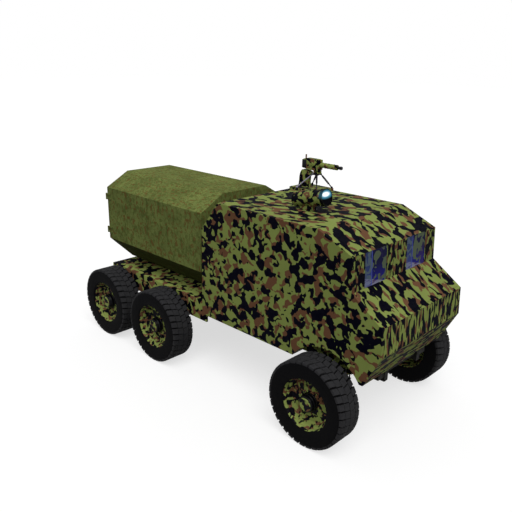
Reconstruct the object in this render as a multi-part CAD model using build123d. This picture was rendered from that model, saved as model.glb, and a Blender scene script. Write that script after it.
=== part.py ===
from build123d import *
from math import atan2, cos, degrees, pi, radians, sin, sqrt
import os

# Six-wheeled military truck: faceted cab over the front axle, octagonal load body on a
# boxed deck, six large single tyres standing wholly outside the body sides.
# Millimetres. +X forward, +Y to the truck's left, +Z up. Origin: on the ground, midway
# between nose and rearmost tyre, on the centre plane.
# Places along the truck are first counted from the front axle, then moved by FRONT_AXLE_X.
# A pair of values is a span on one axis, lower value first, unless a comment says more.

# ---- wheels -------------------------------------------------------------------------
TYRE_R = 590.0              # ground to hub, at the lug tips
TYRE_W = 375.0
WHEEL_Y = 1177.5            # wheel centre plane from the truck's centre plane
FRONT_TO_MIDDLE = 3152.0    # front axle to middle axle
MIDDLE_TO_REAR = 1370.0
LUGS = 36                   # lugs round a tyre, each as wide as the tread
LUG_H = 20.0
LUG_L = 60.0                # along the tread
SHOULDER = 22.0             # how far a lug's end slopes in across the tread
BEAD_SIDES = 20             # flats round the tyre's bead and lower sidewall
SIDEWALL_R = 430.0          # where the flat sidewall starts
LUG_MARGIN = 5.0            # overlap of a lug with the carcass, and the bead's gap to the flange

RIM_R = 385.0               # flange edge
RIM_LIP = 15.0
BARREL_R = 360.0            # bead seat
BARREL_WALL = 15.0
RIM_HALF_W = 165.0
DISC_Y = 30.0               # outer face of the disc, outward of the wheel centre plane
DISC_T = 18.0
DISC_R = 280.0              # where the disc turns up into the dish
DISH_R = 316.0              # top of the dish's slope
DISH_Y = 98.0               # height of the dish's top, outward of the wheel centre plane
HOLE_COUNT = 8              # round holes in the disc
HOLE_R = 22.0
HOLE_CIRCLE = 205.0
HUB_CAP_R = 92.0
HUB_CAP_Y = 161.0           # outer face of the hub cap
HUB_CAP_EDGE = 8.0
HUB_RING_R = 128.0          # raised ring round the hub cap's foot
HUB_RING_T = 14.0
HUB_R = 118.0
HUB_IN_Y = 118.0            # inner end of the hub, inward of the wheel centre plane
SPINDLE_R = 45.0
RUNNING_FIT = 0.05          # radial clearance of every running fit

# ---- axles and steering -------------------------------------------------------------
PORTAL_DROP = 132.0         # axle tube above the wheel centre
AXLE_TUBE_R = 55.0
DIFF_R = 138.0
DIFF_W = 250.0
PINION_R = 50.0
PINION_L = 20.0
CASE_T = 85.0               # portal case, across the truck
CASE_GAP = 140.0            # case outer face, inward of the wheel centre plane
CASE_TOP_R = 95.0
CASE_LOW_R = 100.0
KINGPIN_R = 20.0
YOKE_GAP = 5.0              # yoke arms above and below the steered case
YOKE_T = 25.0
YOKE_R = 45.0
YOKE_HALF_L = 60.0
YOKE_WEB = 28.0
WEB_GAP = 8.0               # yoke web from the case's corners as they swing
COLLAR_R = 40.0
STEER_ARM = 220.0
STEER_ARM_R = 28.0
STEER_ARM_T = 25.0
TRACK_PIN_R = 10.0
TRACK_EYE_R = 26.0
TRACK_EYE_T = 34.0
TRACK_ROD_R = 15.0

# ---- chassis ------------------------------------------------------------------------
RAIL_Y = 360.0              # inner face of each frame rail
RAIL_W = 80.0
RAIL_LOW = 790.0
RAIL_TOP = 955.0
RAIL_FRONT = 566.0
CROSS_X = (-4800.0, -3837.0, -2760.0, -2300.0, -1250.0)
CROSS_W = 80.0
CROSS_INSET = 20.0
SPRING_Y = 505.0
SPRING_W = 76.0
SPRING_RHO = 2600.0         # radius the leaves are bent to
LEAF_T = 14.0
LEAF_WINDOW = 300.0         # more than any pack's height
FRONT_LEAVES = (160.0, 260.0, 360.0, 460.0, 560.0)      # half lengths, lowest leaf first
BOGIE_LEAVES = (745.0, 600.0, 460.0, 320.0, 190.0)      # half lengths, lowest leaf first
HANGER_L = 70.0
HANGER_LIP = 38.0
SADDLE_HALF_L = 90.0
PAD_HALF = 60.0
PAD_LIFT = 30.0             # pad stock above the axle tube, before the leaf's curve trims it
SEAT_LIFT = 4.0             # bogie spring above the axle tube, filled by the pad

ENGINE_X = (-330.0, 540.0)
ENGINE_HALF_W = 320.0
ENGINE_Z = (885.0, 1560.0)
ENGINE_MOUNT_X = (-200.0, 400.0)
ENGINE_MOUNT_W = 80.0
GEARBOX_L = 620.0
GEARBOX_HALF_W = 170.0
GEARBOX_Z = (760.0, 930.0)
TRANSFER_L = 300.0          # deeper rear part of the gearbox
SHAFT_R = 25.0
SHAFT_HOUSING = 60.0
SHAFT_ROOT = 10.0           # how far a shaft's end is set into its housing

WELD_SEAM = 0.3             # between the pieces of one weldment
DECK_HALF_W = 885.0
DECK_TOP = 1115.0
DECK_PLATE = 40.0
DECK_SKIRT = 30.0
DECK_LOW = 785.0
DECK_REAR_X = -4938.0
DECK_FRONT_X = -2362.0
BEARER_X = (-4700.0, -3837.0, -3150.0, -2560.0)
BEARER_W = 80.0
TAIL_LAMP_T = 28.0
TAIL_LAMP_INSET = 85.0      # lamp's outer edge, inward of the deck's side
TAIL_LAMP_W = 160.0
TAIL_LAMP_H = 80.0
TAIL_LAMP_DROP = 135.0      # lamp's top, below the deck's top
HITCH_OUT = 90.0
HITCH_HALF_W = 55.0
HITCH_Z = (840.0, 890.0)
HITCH_BORE_R = 25.0
HITCH_PLATE = (130.0, 60.0, 20.0)   # half width, reach above and below the lug, thickness

# ---- cab ----------------------------------------------------------------------------
NOSE_X = 804.0              # foremost edge of the cab
CAB_HALF_W = 975.0
CAB_WALL = 50.0
CAB_LOW = 955.0
CAB_REAR_X = -2354.0
CAB_REAR_TOP = 2315.0       # where the rear wall starts to lean forward
ROOF_Z = 2757.0
ROOF_REAR_X = -2012.0
ROOF_FRONT_X = -218.0
SCREEN_TOP = (310.0, 2528.0)    # x and z
SCREEN_LOW = (335.0, 2083.0)    # x and z
NOSE_TOP = (785.0, 1773.0)      # x and z
NOSE_LOW_Z = 1397.0
CHIN = 582.0                # front end of the flat underside
SEAM_BACK = 35.0            # seam across the bonnet, behind its front edge
SEAM_W = 7.0
SEAM_DEPTH = 6.0
SCREEN_WALL = 110.0
PANE_OUT = 260.0            # outer edge of each pane, inward of the cab's side
PANE_W = 480.0
PANE_INSET = 0.12           # how deep the pane sits, as a share of the cab wall
SCREEN_RAIL = 30.0          # inner rails above and below the panes
ARCH_R = 645.0
ARCH_IN_Y = 745.0
ARCH_WALL = 15.0
COVER_GAP = 20.0            # engine cover round the engine
COVER_WALL = 15.0

DOOR_X = (-1500.0, -690.0)
DOOR_Z = (1035.0, 2460.0)
DOOR_GAP = 6.0
HANDLE_Z = (1560.0, 1760.0)
HANDLE_IN = 70.0            # handle from the door's rear edge
HANDLE_OUT = 34.0
HANDLE_R = 9.0
HINGE_R = 13.0
HINGE_PIN_R = 6.0
HINGE_L = 60.0
HINGE_END = 25.0            # length of each fixed knuckle of a hinge
HINGE_SLACK = 1.0
HINGE_OUT = 14.0            # hinge axis outside the panel's face
HINGE_LEAF = 60.0
HINGES_Z = (1250.0, 2250.0)

DASH_LOW = 1760.0
DASH_TOP = 2010.0
DASH_DEPTH = 250.0
DASH_BEVEL = (60.0, 20.0, 50.0)     # flat top, fall at the screen, fall at the driver
COLUMN_FOOT = (-20.0, 480.0, 1780.0)    # x, y and z
COLUMN_LEAN = 35.0
COLUMN_L = 260.0
COLUMN_R = 32.0
STUB_L = 40.0
WHEEL_RIM_R = 215.0
WHEEL_RIM_T = 15.0
WHEEL_HUB_T = 34.0
SPOKE_W = 26.0
SPOKE_T = 12.0
SEAT_INSET = 495.0          # seat's middle, inward of the cab's side
SEAT_HALF_W = 240.0
SEAT_BOX_X = (-980.0, -520.0)
SEAT_BOX_TOP = 1430.0
SEAT_FRONT_X = -440.0
CUSHION_TOP = 1560.0
CUSHION_END_X = -850.0
BACK_TOP = 2180.0
BACK_LEAN = 110.0
BACK_T = 110.0

# ---- load body ----------------------------------------------------------------------
LOAD_FRONT_X = -2447.0
LOAD_REAR_X = -4955.0
LOAD_HALF_W = 906.0
LOAD_TOP_HALF = 472.0
LOAD_LOW_HALF = 455.0
LOAD_Z = (1157.0, 1589.0, 2510.0, 2750.0)   # the octagon's four heights
LOAD_WALL = 40.0
LOAD_DOOR_T = 40.0
LOAD_DOOR_GAP = 6.0
LOAD_HINGES_Z = (1750.0, 2350.0)
LOAD_HINGE_OUT = 12.0       # hinge axis behind the doors
LATCH_W = 36.0              # upright latch bar on the right-hand door
LATCH_Z = (1330.0, 2620.0)

# ---- roof fittings ------------------------------------------------------------------
GUN_X = -1630.0             # pintle of the roof gun
GUN_INSET = 223.0           # pintle, inward of the cab's left side
STAND_PLATE = 38.0
STAND_PLATE_X = (-1995.0, -1450.0)
STAND_PLATE_HALF = 210.0
STAND_FOOT_X = (-1860.0, -1470.0)
STAND_FOOT_Y = 190.0
FOOT_R = 18.0
LEG_R = 9.0
SLEEVE_R = 14.0             # upper part of the two middle legs
STAND_H = 270.0             # top of the stand's head above the roof
HEAD_R = 30.0
HEAD_HALF = (78.0, 20.0)
HEAD_T = 24.0
LEG_ROOT = 64.0             # tops of the two outer legs from the pintle
STRUT_COLLARS = 11          # on the sprung front leg
STRUT_COLLAR_R = 16.0
PINTLE_L = 40.0
PINTLE_R = 14.0
# Receiver of the gun: ahead of the pintle, above the stand.
RECEIVER = ((-258, 68), (-258, 190), (-215, 211), (62, 211), (62, 60), (30, 45), (-94, 45))
GUN_HALF_W = 55.0
TRUNNION = ((-42.0, 62.0), 35.0, 50.0)  # span along the gun, half width, height
BORE_UP = 138.0             # barrel's middle above the stand
JACKET_R = 38.0
JACKET_END = 383.0          # ahead of the pintle
JACKET_RINGS = 6
JACKET_RING_R = 41.0
MUZZLE_END = 467.0          # ahead of the pintle
MUZZLE_R = 16.0
SIGHT_X = (-234.0, -217.0)  # ahead of the pintle
SIGHT_H = 57.0
SIGHT_HALF_W = 7.0
# Feed chute: behind the pintle, above the stand's plate; rear edge up, then front edge down.
CHUTE = ((324, 0), (313, 89), (311, 147), (301, 195), (284, 238), (262, 264),
         (180, 262), (112, 240), (104, 205), (142, 165), (146, 70), (134, 0))
CHUTE_HALF_W = 45.0
LAMP_INSET = 680.0          # lamp's middle, inward of the cab's right side
LAMP_R = 106.0
LAMP_REAR_X = -1190.0
LAMP_L = 580.0
LAMP_TILT = 12.0
LAMP_LIFT = 8.0             # rear end above the roof
LAMP_DOME = 0.6             # depth of the rounded rear end, as a share of LAMP_R
BEZEL_R = 117.0
BEZEL_L = 70.0
BAND_L = 28.0
BAND_BACK = 215.0           # band behind the lens end
LENS_DEPTH = 40.0
LENS_PROUD = 6.0            # lens front behind the bezel's edge
BEZEL_WALL = 12.0

# ---- worked out ---------------------------------------------------------------------
SIDES = {"left": 1, "right": -1}
REAR_X = -(FRONT_TO_MIDDLE + MIDDLE_TO_REAR)
AXLES = {"front": 0.0, "middle": -FRONT_TO_MIDDLE, "rear": REAR_X}
FRONT_AXLE_X = -(NOSE_X + REAR_X - TYRE_R) / 2
AXLE_Z = TYRE_R + PORTAL_DROP
CASE_OUT_Y = WHEEL_Y - CASE_GAP
CASE_IN_Y = CASE_OUT_Y - CASE_T
KINGPIN_Y = (CASE_OUT_Y + CASE_IN_Y) / 2
YOKE_Z = (TYRE_R - CASE_LOW_R - YOKE_GAP, AXLE_Z + CASE_TOP_R + YOKE_GAP)
WEB_OUT_Y = KINGPIN_Y - sqrt(CASE_LOW_R ** 2 + (CASE_T / 2) ** 2) - WEB_GAP
TRACK_Z = TYRE_R + STEER_ARM_T + 1.0
BOGIE_X = (AXLES["middle"] + REAR_X) / 2
FRONT_LOW_Z = AXLE_Z + AXLE_TUBE_R
BOGIE_SAG = SPRING_RHO - sqrt(SPRING_RHO ** 2 - (MIDDLE_TO_REAR / 2) ** 2)
BOGIE_LOW_Z = AXLE_Z + AXLE_TUBE_R + SEAT_LIFT + BOGIE_SAG
DECK_UNDER = DECK_TOP - DECK_PLATE
CAB_IN = CAB_HALF_W - CAB_WALL
PANE_SPANS = ((CAB_HALF_W - PANE_OUT - PANE_W, CAB_HALF_W - PANE_OUT),
              (PANE_OUT - CAB_HALF_W, PANE_OUT - CAB_HALF_W + PANE_W))
HINGE_X = DOOR_X[1] - DOOR_GAP / 2
DASH_X = SCREEN_TOP[0] - SCREEN_WALL
SEAT_Y = (CAB_HALF_W - SEAT_INSET, SEAT_INSET - CAB_HALF_W)
SHELL_REAR_X = LOAD_REAR_X + LOAD_DOOR_T + LOAD_DOOR_GAP
LOAD_HINGE_X = LOAD_REAR_X - LOAD_HINGE_OUT
GUN_Y = CAB_HALF_W - GUN_INSET
STAND_TOP = ROOF_Z + STAND_H
PLATE_TOP = ROOF_Z + STAND_PLATE
BORE_Z = STAND_TOP + BORE_UP
LAMP_Y = LAMP_INSET - CAB_HALF_W


# ---- helpers ------------------------------------------------------------------------
def block(x, y, z):
    """Box between two values on each axis."""
    size = [high - low for low, high in (x, y, z)]
    middle = [(high + low) / 2 for low, high in (x, y, z)]
    return Pos(*middle) * Box(*size)


def side_plate(outline, y):
    """Solid of an outline in the side view, (x, z) points, between two y values."""
    face = make_face(Polyline(*[(px, y[0], pz) for px, pz in outline], close=True))
    return extrude(face, amount=y[1] - y[0], dir=(0, 1, 0))


def end_plate(outline, x):
    """Solid of an outline in the end view, (y, z) points, between two x values."""
    face = make_face(Polyline(*[(x[0], py, pz) for py, pz in outline], close=True))
    return extrude(face, amount=x[1] - x[0], dir=(1, 0, 0))


def rod(start, end, radius):
    """Round bar between two points."""
    a, b = Vector(*start), Vector(*end)
    way = b - a
    bar = Cylinder(radius, way.length, align=(Align.CENTER, Align.CENTER, Align.MIN))
    return Plane(origin=a, z_dir=way) * bar


def upright(x, y, z, radius):
    """Round bar standing between two heights."""
    return rod((x, y, z[0]), (x, y, z[1]), radius)


def across(x, y, z, radius):
    """Round bar lying across the truck between two y values."""
    return rod((x, y[0], z), (x, y[1], z), radius)


def turned(profile):
    """Solid turned about the wheel's axis, from (y, radius) points."""
    face = make_face(Polyline(*[(0, py, pr) for py, pr in profile], close=True))
    return revolve(face, Axis.Y, 360)


def mirrored(solid, side):
    """The left-hand solid, or its mirror on the right."""
    return solid if side > 0 else mirror(solid, Plane.XZ)


def joined(solids):
    """All the solids fused into the first."""
    body = solids[0]
    for solid in solids[1:]:
        body += solid
    return body


def placed(solid):
    """From the front axle's frame to the truck's own."""
    return Pos(FRONT_AXLE_X, 0, 0) * solid


def inner_offset(outline, wall):
    """Outline moved inwards by a wall, for a closed outline of straight edges in order."""
    following = outline[1:] + outline[:1]
    pairs = list(zip(outline, following))
    area = sum(x0 * z1 - x1 * z0 for (x0, z0), (x1, z1) in pairs)
    turn = wall if area > 0 else -wall
    lines = []
    for (x0, z0), (x1, z1) in pairs:
        dx, dz = x1 - x0, z1 - z0
        length = sqrt(dx ** 2 + dz ** 2)
        lines.append((x0 - dz / length * turn, z0 + dx / length * turn, dx, dz))
    inner = []
    for (px, pz, dx, dz), (qx, qz, ex, ez) in zip(lines[-1:] + lines[:-1], lines):
        along = ((qx - px) * ez - (qz - pz) * ex) / (dx * ez - dz * ex)
        inner.append((px + dx * along, pz + dz * along))
    return inner


def between(start, end, share):
    """Point at a share of the way from one point to another."""
    return tuple(a + (b - a) * share for a, b in zip(start, end))


# ---- wheels -------------------------------------------------------------------------
def flats(count, apothem):
    """(x, z) corners of a regular outline with one of its flats straight down."""
    radius = apothem / cos(pi / count)
    angles = [2 * pi * (i + 0.5) / count - pi / 2 for i in range(count)]
    return [(radius * cos(a), radius * sin(a)) for a in angles]


def sidewall_cutter():
    """Tapered space between the rim's flange and the flat sidewall, on the outer side."""
    flange_y = RIM_HALF_W - RIM_LIP
    slope = (SIDEWALL_R - RIM_R - LUG_MARGIN) / (TYRE_W / 2 - flange_y)
    sections = []
    for y in (flange_y, TYRE_W / 2 + SHOULDER):
        apothem = RIM_R + LUG_MARGIN + slope * (y - flange_y)
        corners = [(x, y, z) for x, z in flats(BEAD_SIDES, apothem)]
        sections.append(make_face(Polyline(*corners, close=True)))
    return loft(sections, ruled=True)


def lug():
    """Lug at the tyre's foot, sloped in at both ends."""
    half = TYRE_W / 2
    base = TYRE_R - LUG_H
    outline = [(-half, -base + LUG_MARGIN), (-half, -base), (-half + SHOULDER, -TYRE_R),
               (half - SHOULDER, -TYRE_R), (half, -base), (half, -base + LUG_MARGIN)]
    return end_plate(outline, (-LUG_L / 2, LUG_L / 2))


def tyre():
    """Tyre as one solid between the rim's flanges, out to the lugs' tips."""
    half = TYRE_W / 2
    body = side_plate(flats(LUGS, TYRE_R - LUG_H), (-half, half))
    cutter = sidewall_cutter()
    body -= side_plate(flats(BEAD_SIDES, BARREL_R), (-half - 1, half + 1))
    body = body - cutter - mirror(cutter, Plane.XZ)
    for i in range(LUGS):
        body += Rot(0, 360 * i / LUGS, 0) * lug()
    return body


def rim():
    """Rim, dish, disc, hub barrel and hub cap in one piece, bored for the spindle."""
    inner = BARREL_R - BARREL_WALL
    flange = RIM_HALF_W - RIM_LIP
    lip = inner - BARREL_WALL / 2
    body = turned([
        (-RIM_HALF_W, inner), (-RIM_HALF_W, RIM_R), (-flange, RIM_R), (-flange, BARREL_R),
        (flange, BARREL_R), (flange, RIM_R), (RIM_HALF_W, RIM_R), (RIM_HALF_W, inner + 10),
        (flange - 15, lip), (DISH_Y + 12, lip), (DISH_Y, DISH_R), (DISC_Y + DISC_T, DISC_R + 20),
        (DISC_Y, DISC_R), (DISC_Y, 0), (DISC_Y - DISC_T, 0), (DISC_Y - DISC_T, DISC_R + 6),
        (DISC_Y, DISC_R + 30), (DISH_Y - 23, DISH_R + 10), (DISH_Y - 13, inner),
    ])
    body += turned([(-HUB_IN_Y, 0), (-HUB_IN_Y, HUB_R), (DISC_Y, HUB_R), (DISC_Y, 0)])
    ring_y = DISC_Y + HUB_RING_T
    body += turned([(DISC_Y, 0), (DISC_Y, HUB_RING_R), (ring_y, HUB_RING_R - 6), (ring_y, 0)])
    edge_r, edge_y = HUB_CAP_R - HUB_CAP_EDGE, HUB_CAP_Y - HUB_CAP_EDGE
    body += turned([(DISC_Y, 0), (DISC_Y, HUB_CAP_R), (edge_y, HUB_CAP_R),
                    (HUB_CAP_Y, edge_r), (HUB_CAP_Y, 0)])
    bore = SPINDLE_R + RUNNING_FIT
    body -= across(0, (-HUB_IN_Y - 1, DISC_Y), 0, bore)
    for i in range(HOLE_COUNT):
        hole = across(HOLE_CIRCLE, (DISC_Y - DISC_T - 1, DISC_Y + 1), 0, HOLE_R)
        body -= Rot(0, 360 * (i + 0.5) / HOLE_COUNT, 0) * hole
    return body


# ---- axles and steering -------------------------------------------------------------
def portal_case():
    """Left-hand drop case with its spindle, in the axle's frame."""
    span = (CASE_IN_Y, CASE_OUT_Y)
    web = [(-CASE_TOP_R, AXLE_Z), (-CASE_LOW_R, TYRE_R), (CASE_LOW_R, TYRE_R), (CASE_TOP_R, AXLE_Z)]
    spindle = (CASE_OUT_Y - 5, WHEEL_Y + DISC_Y - 6)
    return joined([
        across(0, span, TYRE_R, CASE_LOW_R),
        across(0, span, AXLE_Z, CASE_TOP_R),
        side_plate(web, span),
        across(0, spindle, TYRE_R, SPINDLE_R),
    ])


def axle_beam(reach, pinions):
    """Axle tube with its differential, and a pinion nose at its front (+1) or rear (-1)."""
    beam = across(0, (-reach, reach), AXLE_Z, AXLE_TUBE_R)
    beam += across(0, (-DIFF_W / 2, DIFF_W / 2), AXLE_Z, DIFF_R)
    for end in pinions:
        beam += rod((0, 0, AXLE_Z), (end * (DIFF_R + PINION_L), 0, AXLE_Z), PINION_R)
    return beam


def yoke():
    """Left-hand fork that holds the steered case between two arms."""
    web_y = (WEB_OUT_Y - YOKE_WEB, WEB_OUT_Y)
    low, high = YOKE_Z
    body = block((-YOKE_HALF_L, YOKE_HALF_L), web_y, (low - YOKE_T, high + YOKE_T))
    for arm_z in ((low - YOKE_T, low), (high, high + YOKE_T)):
        arm = block((-YOKE_R, YOKE_R), (web_y[0], KINGPIN_Y), arm_z)
        arm += upright(0, KINGPIN_Y, arm_z, YOKE_R)
        bore_z = (arm_z[0] - 1, arm_z[1] + 1)
        body += arm - upright(0, KINGPIN_Y, bore_z, KINGPIN_R + RUNNING_FIT)
    return body


def front_axle():
    """Front beam with its spring pads and a fork for each steered case."""
    beam = axle_beam(WEB_OUT_Y - YOKE_WEB / 2, (-1,))
    pad = block((-PAD_HALF, PAD_HALF), (SPRING_Y, SPRING_Y + SPRING_W), (AXLE_Z, FRONT_LOW_Z))
    for side in SIDES.values():
        beam += mirrored(pad + yoke(), side)
    return beam


def driven_axle(spring_side, pinions):
    """Middle or rear beam with a fixed portal case and a spring pad at each end.
    spring_side: +1 where the bogie's centre lies ahead of this axle, -1 behind."""
    beam = axle_beam(CASE_IN_Y + 1, pinions)
    span = (SPRING_Y, SPRING_Y + SPRING_W)
    leaf_x, leaf_z = spring_side * MIDDLE_TO_REAR / 2, BOGIE_LOW_Z - SPRING_RHO
    under = across(leaf_x, (span[0] - 1, span[1] + 1), leaf_z, SPRING_RHO)
    stock = block((-PAD_HALF, PAD_HALF), span, (AXLE_Z, AXLE_Z + AXLE_TUBE_R + PAD_LIFT))
    for side in SIDES.values():
        beam += mirrored((stock & under) + portal_case(), side)
    return beam


def knuckle(side):
    """Steered portal case with its two kingpins, their collars and its steering arm."""
    body = portal_case()
    low, high = YOKE_Z
    body += upright(0, KINGPIN_Y, (low - YOKE_T, TYRE_R), KINGPIN_R)
    body += upright(0, KINGPIN_Y, (AXLE_Z, high + YOKE_T), KINGPIN_R)
    body += upright(0, KINGPIN_Y, (low + 1, TYRE_R), COLLAR_R)
    body += upright(0, KINGPIN_Y, (AXLE_Z, high - 1), COLLAR_R)
    arm_y = (KINGPIN_Y - STEER_ARM_R, KINGPIN_Y + STEER_ARM_R)
    arm_z = (TYRE_R, TYRE_R + STEER_ARM_T)
    body += block((-STEER_ARM, -YOKE_HALF_L), arm_y, arm_z)
    body += upright(-STEER_ARM, KINGPIN_Y, arm_z, STEER_ARM_R)
    body += upright(-STEER_ARM, KINGPIN_Y, (TYRE_R, TRACK_Z + TRACK_EYE_T + 4), TRACK_PIN_R)
    return mirrored(body, side)


def track_rod():
    """Rod that joins the two steering arms, with an eye at each end."""
    middle = TRACK_Z + TRACK_EYE_T / 2
    body = across(-STEER_ARM, (-KINGPIN_Y, KINGPIN_Y), middle, TRACK_ROD_R)
    eye_z = (TRACK_Z, TRACK_Z + TRACK_EYE_T)
    for side in SIDES.values():
        body += upright(-STEER_ARM, side * KINGPIN_Y, eye_z, TRACK_EYE_R)
    for side in SIDES.values():
        bore_z = (eye_z[0] - TRACK_EYE_T, eye_z[1] + TRACK_EYE_T)
        body -= upright(-STEER_ARM, side * KINGPIN_Y, bore_z, TRACK_PIN_R + RUNNING_FIT)
    return body


# ---- chassis ------------------------------------------------------------------------
def leaf_pack(x, low_z, half_lengths, ends_up):
    """Left-hand pack of concentric curved leaves standing on low_z at its middle."""
    span = (SPRING_Y, SPRING_Y + SPRING_W)
    cut = (span[0] - 1, span[1] + 1)
    leaves = []
    for i, half in enumerate(half_lengths):
        inner = SPRING_RHO - (i + 1) * LEAF_T if ends_up else SPRING_RHO + i * LEAF_T
        centre = low_z + SPRING_RHO if ends_up else low_z - SPRING_RHO
        ring = across(x, span, centre, inner + LEAF_T) - across(x, cut, centre, inner)
        window = block((x - half, x + half), span, (low_z - LEAF_WINDOW, low_z + LEAF_WINDOW))
        leaves.append(ring & window)
    return joined(leaves)


def front_pack():
    return leaf_pack(AXLES["front"], FRONT_LOW_Z, FRONT_LEAVES, True)


def bogie_pack():
    return leaf_pack(BOGIE_X, BOGIE_LOW_Z, BOGIE_LEAVES, False)


def leaf_springs():
    """Front pair, and the pair that joins the middle and rear axles."""
    left = [front_pack(), bogie_pack()]
    return left + [mirrored(pack, -1) for pack in left]


def hanger(x, pack):
    """Left-hand bracket that holds a front spring's end from the rail's outer face."""
    low = pack.bounding_box().max.Z - LEAF_T - HANGER_LIP
    span = (RAIL_Y + RAIL_W, SPRING_Y + SPRING_W)
    return block((x - HANGER_L / 2, x + HANGER_L / 2), span, (low, RAIL_TOP)) - pack


def frame():
    """Two rails with spring hangers and bogie saddles, and the cross-members between them."""
    front, bogie = front_pack(), bogie_pack()
    reach = FRONT_LEAVES[-1] - HANGER_L / 2
    saddle_x = (BOGIE_X - SADDLE_HALF_L, BOGIE_X + SADDLE_HALF_L)
    saddle = block(saddle_x, (RAIL_Y + RAIL_W, SPRING_Y + SPRING_W), (BOGIE_LOW_Z, RAIL_TOP))
    rail_x = (DECK_REAR_X + DECK_SKIRT, RAIL_FRONT)
    left = joined([
        block(rail_x, (RAIL_Y, RAIL_Y + RAIL_W), (RAIL_LOW, RAIL_TOP)),
        hanger(reach, front),
        hanger(-reach, front),
        saddle - bogie,
    ])
    cross_y = (WELD_SEAM - RAIL_Y, RAIL_Y - WELD_SEAM)
    cross_z = (RAIL_LOW + CROSS_INSET, RAIL_TOP - CROSS_INSET)
    members = [block((x - CROSS_W / 2, x + CROSS_W / 2), cross_y, cross_z) for x in CROSS_X]
    return [left, mirrored(left, -1), *members]


def deck():
    """Deck plate, bearers that cross the rails, side skirts, and a tail plate with the hitch."""
    length = (DECK_REAR_X, DECK_FRONT_X)
    below = DECK_UNDER - WELD_SEAM
    inner = DECK_HALF_W - DECK_SKIRT
    reach = (WELD_SEAM - inner, inner - WELD_SEAM)
    plate = block(length, (-DECK_HALF_W, DECK_HALF_W), (DECK_UNDER, DECK_TOP))
    skirt = block(length, (inner, DECK_HALF_W), (DECK_LOW, below))
    tail = block((DECK_REAR_X, DECK_REAR_X + DECK_SKIRT), reach, (DECK_LOW, below))
    bearers = [block((x - BEARER_W / 2, x + BEARER_W / 2), reach, (RAIL_TOP, below))
               for x in BEARER_X]
    return [plate, skirt, mirrored(skirt, -1), tail + tow_hitch(), *bearers]


def powertrain():
    """Engine as one plain block on two cross-mounts, gearbox, and a shaft to each axle."""
    body = block(ENGINE_X, (-ENGINE_HALF_W, ENGINE_HALF_W), ENGINE_Z)
    mount_z = (ENGINE_Z[0], RAIL_TOP - CROSS_INSET)
    for x in ENGINE_MOUNT_X:
        mount_x = (x - ENGINE_MOUNT_W / 2, x + ENGINE_MOUNT_W / 2)
        body += block(mount_x, (-RAIL_Y, RAIL_Y), mount_z)
    width = (-GEARBOX_HALF_W, GEARBOX_HALF_W)
    rear = ENGINE_X[0] - GEARBOX_L
    body += block((rear, ENGINE_X[0]), width, GEARBOX_Z)
    body += block((rear, rear + TRANSFER_L), width, (AXLE_Z - SHAFT_HOUSING, GEARBOX_Z[1]))
    nose = DIFF_R + PINION_L
    shafts = (
        (rear + TRANSFER_L - SHAFT_ROOT, -nose),
        (AXLES["middle"] + nose, rear + SHAFT_ROOT),
    )
    for start, end in shafts:
        body += rod((start, 0, AXLE_Z), (end, 0, AXLE_Z), SHAFT_R)
    link = rod((REAR_X + nose, 0, AXLE_Z), (AXLES["middle"] - nose, 0, AXLE_Z), SHAFT_R)
    return [body, link]


def tail_lamps():
    """Two lamps on the deck's rear face."""
    outer = DECK_HALF_W - TAIL_LAMP_INSET
    top = DECK_TOP - TAIL_LAMP_DROP
    left = block((DECK_REAR_X - TAIL_LAMP_T, DECK_REAR_X), (outer - TAIL_LAMP_W, outer),
                 (top - TAIL_LAMP_H, top))
    return [left, mirrored(left, -1)]


def tow_hitch():
    """Towing lug on the deck's rear face, bored upright for a pin."""
    plate_half, plate_reach, plate_t = HITCH_PLATE
    bore_x = DECK_REAR_X - HITCH_OUT
    lug_z = (HITCH_Z[0], HITCH_Z[1])
    lug_body = block((bore_x, DECK_REAR_X), (-HITCH_HALF_W, HITCH_HALF_W), lug_z)
    lug_body += upright(bore_x, 0, lug_z, HITCH_HALF_W)
    lug_body += block((DECK_REAR_X - plate_t, DECK_REAR_X), (-plate_half, plate_half),
                      (lug_z[0] - plate_reach, lug_z[1] + plate_reach))
    return lug_body - upright(bore_x, 0, (lug_z[0] - 1, lug_z[1] + 1), HITCH_BORE_R)


# ---- cab ----------------------------------------------------------------------------
CAB_OUTLINE = [
    (CAB_REAR_X, CAB_LOW), (CHIN, CAB_LOW), (NOSE_X, NOSE_LOW_Z), NOSE_TOP, SCREEN_LOW,
    SCREEN_TOP, (ROOF_FRONT_X, ROOF_Z), (ROOF_REAR_X, ROOF_Z), (CAB_REAR_X, CAB_REAR_TOP),
]
CAB_INNER = inner_offset(CAB_OUTLINE, CAB_WALL)


def arch(radius, y):
    """Round of the wheel arch between two y values."""
    return across(0, y, TYRE_R, radius)


def cab_side(side):
    """Flat side panel with the wheel arch, and the doorway on the left."""
    span = (CAB_IN, CAB_HALF_W)
    cut = (span[0] - 1, span[1] + 1)
    body = side_plate(CAB_OUTLINE, span) - arch(ARCH_R, cut)
    if side > 0:
        body -= block(DOOR_X, cut, DOOR_Z)
        for z in HINGES_Z:
            body += hinge_fixed(z)
    return mirrored(body, side)


def cab_panel(*corners):
    """Panel between the sides that follows the outline through these corners."""
    outline = [CAB_OUTLINE[i] for i in corners] + [CAB_INNER[i] for i in reversed(corners)]
    return side_plate(outline, (-CAB_IN, CAB_IN))


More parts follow.
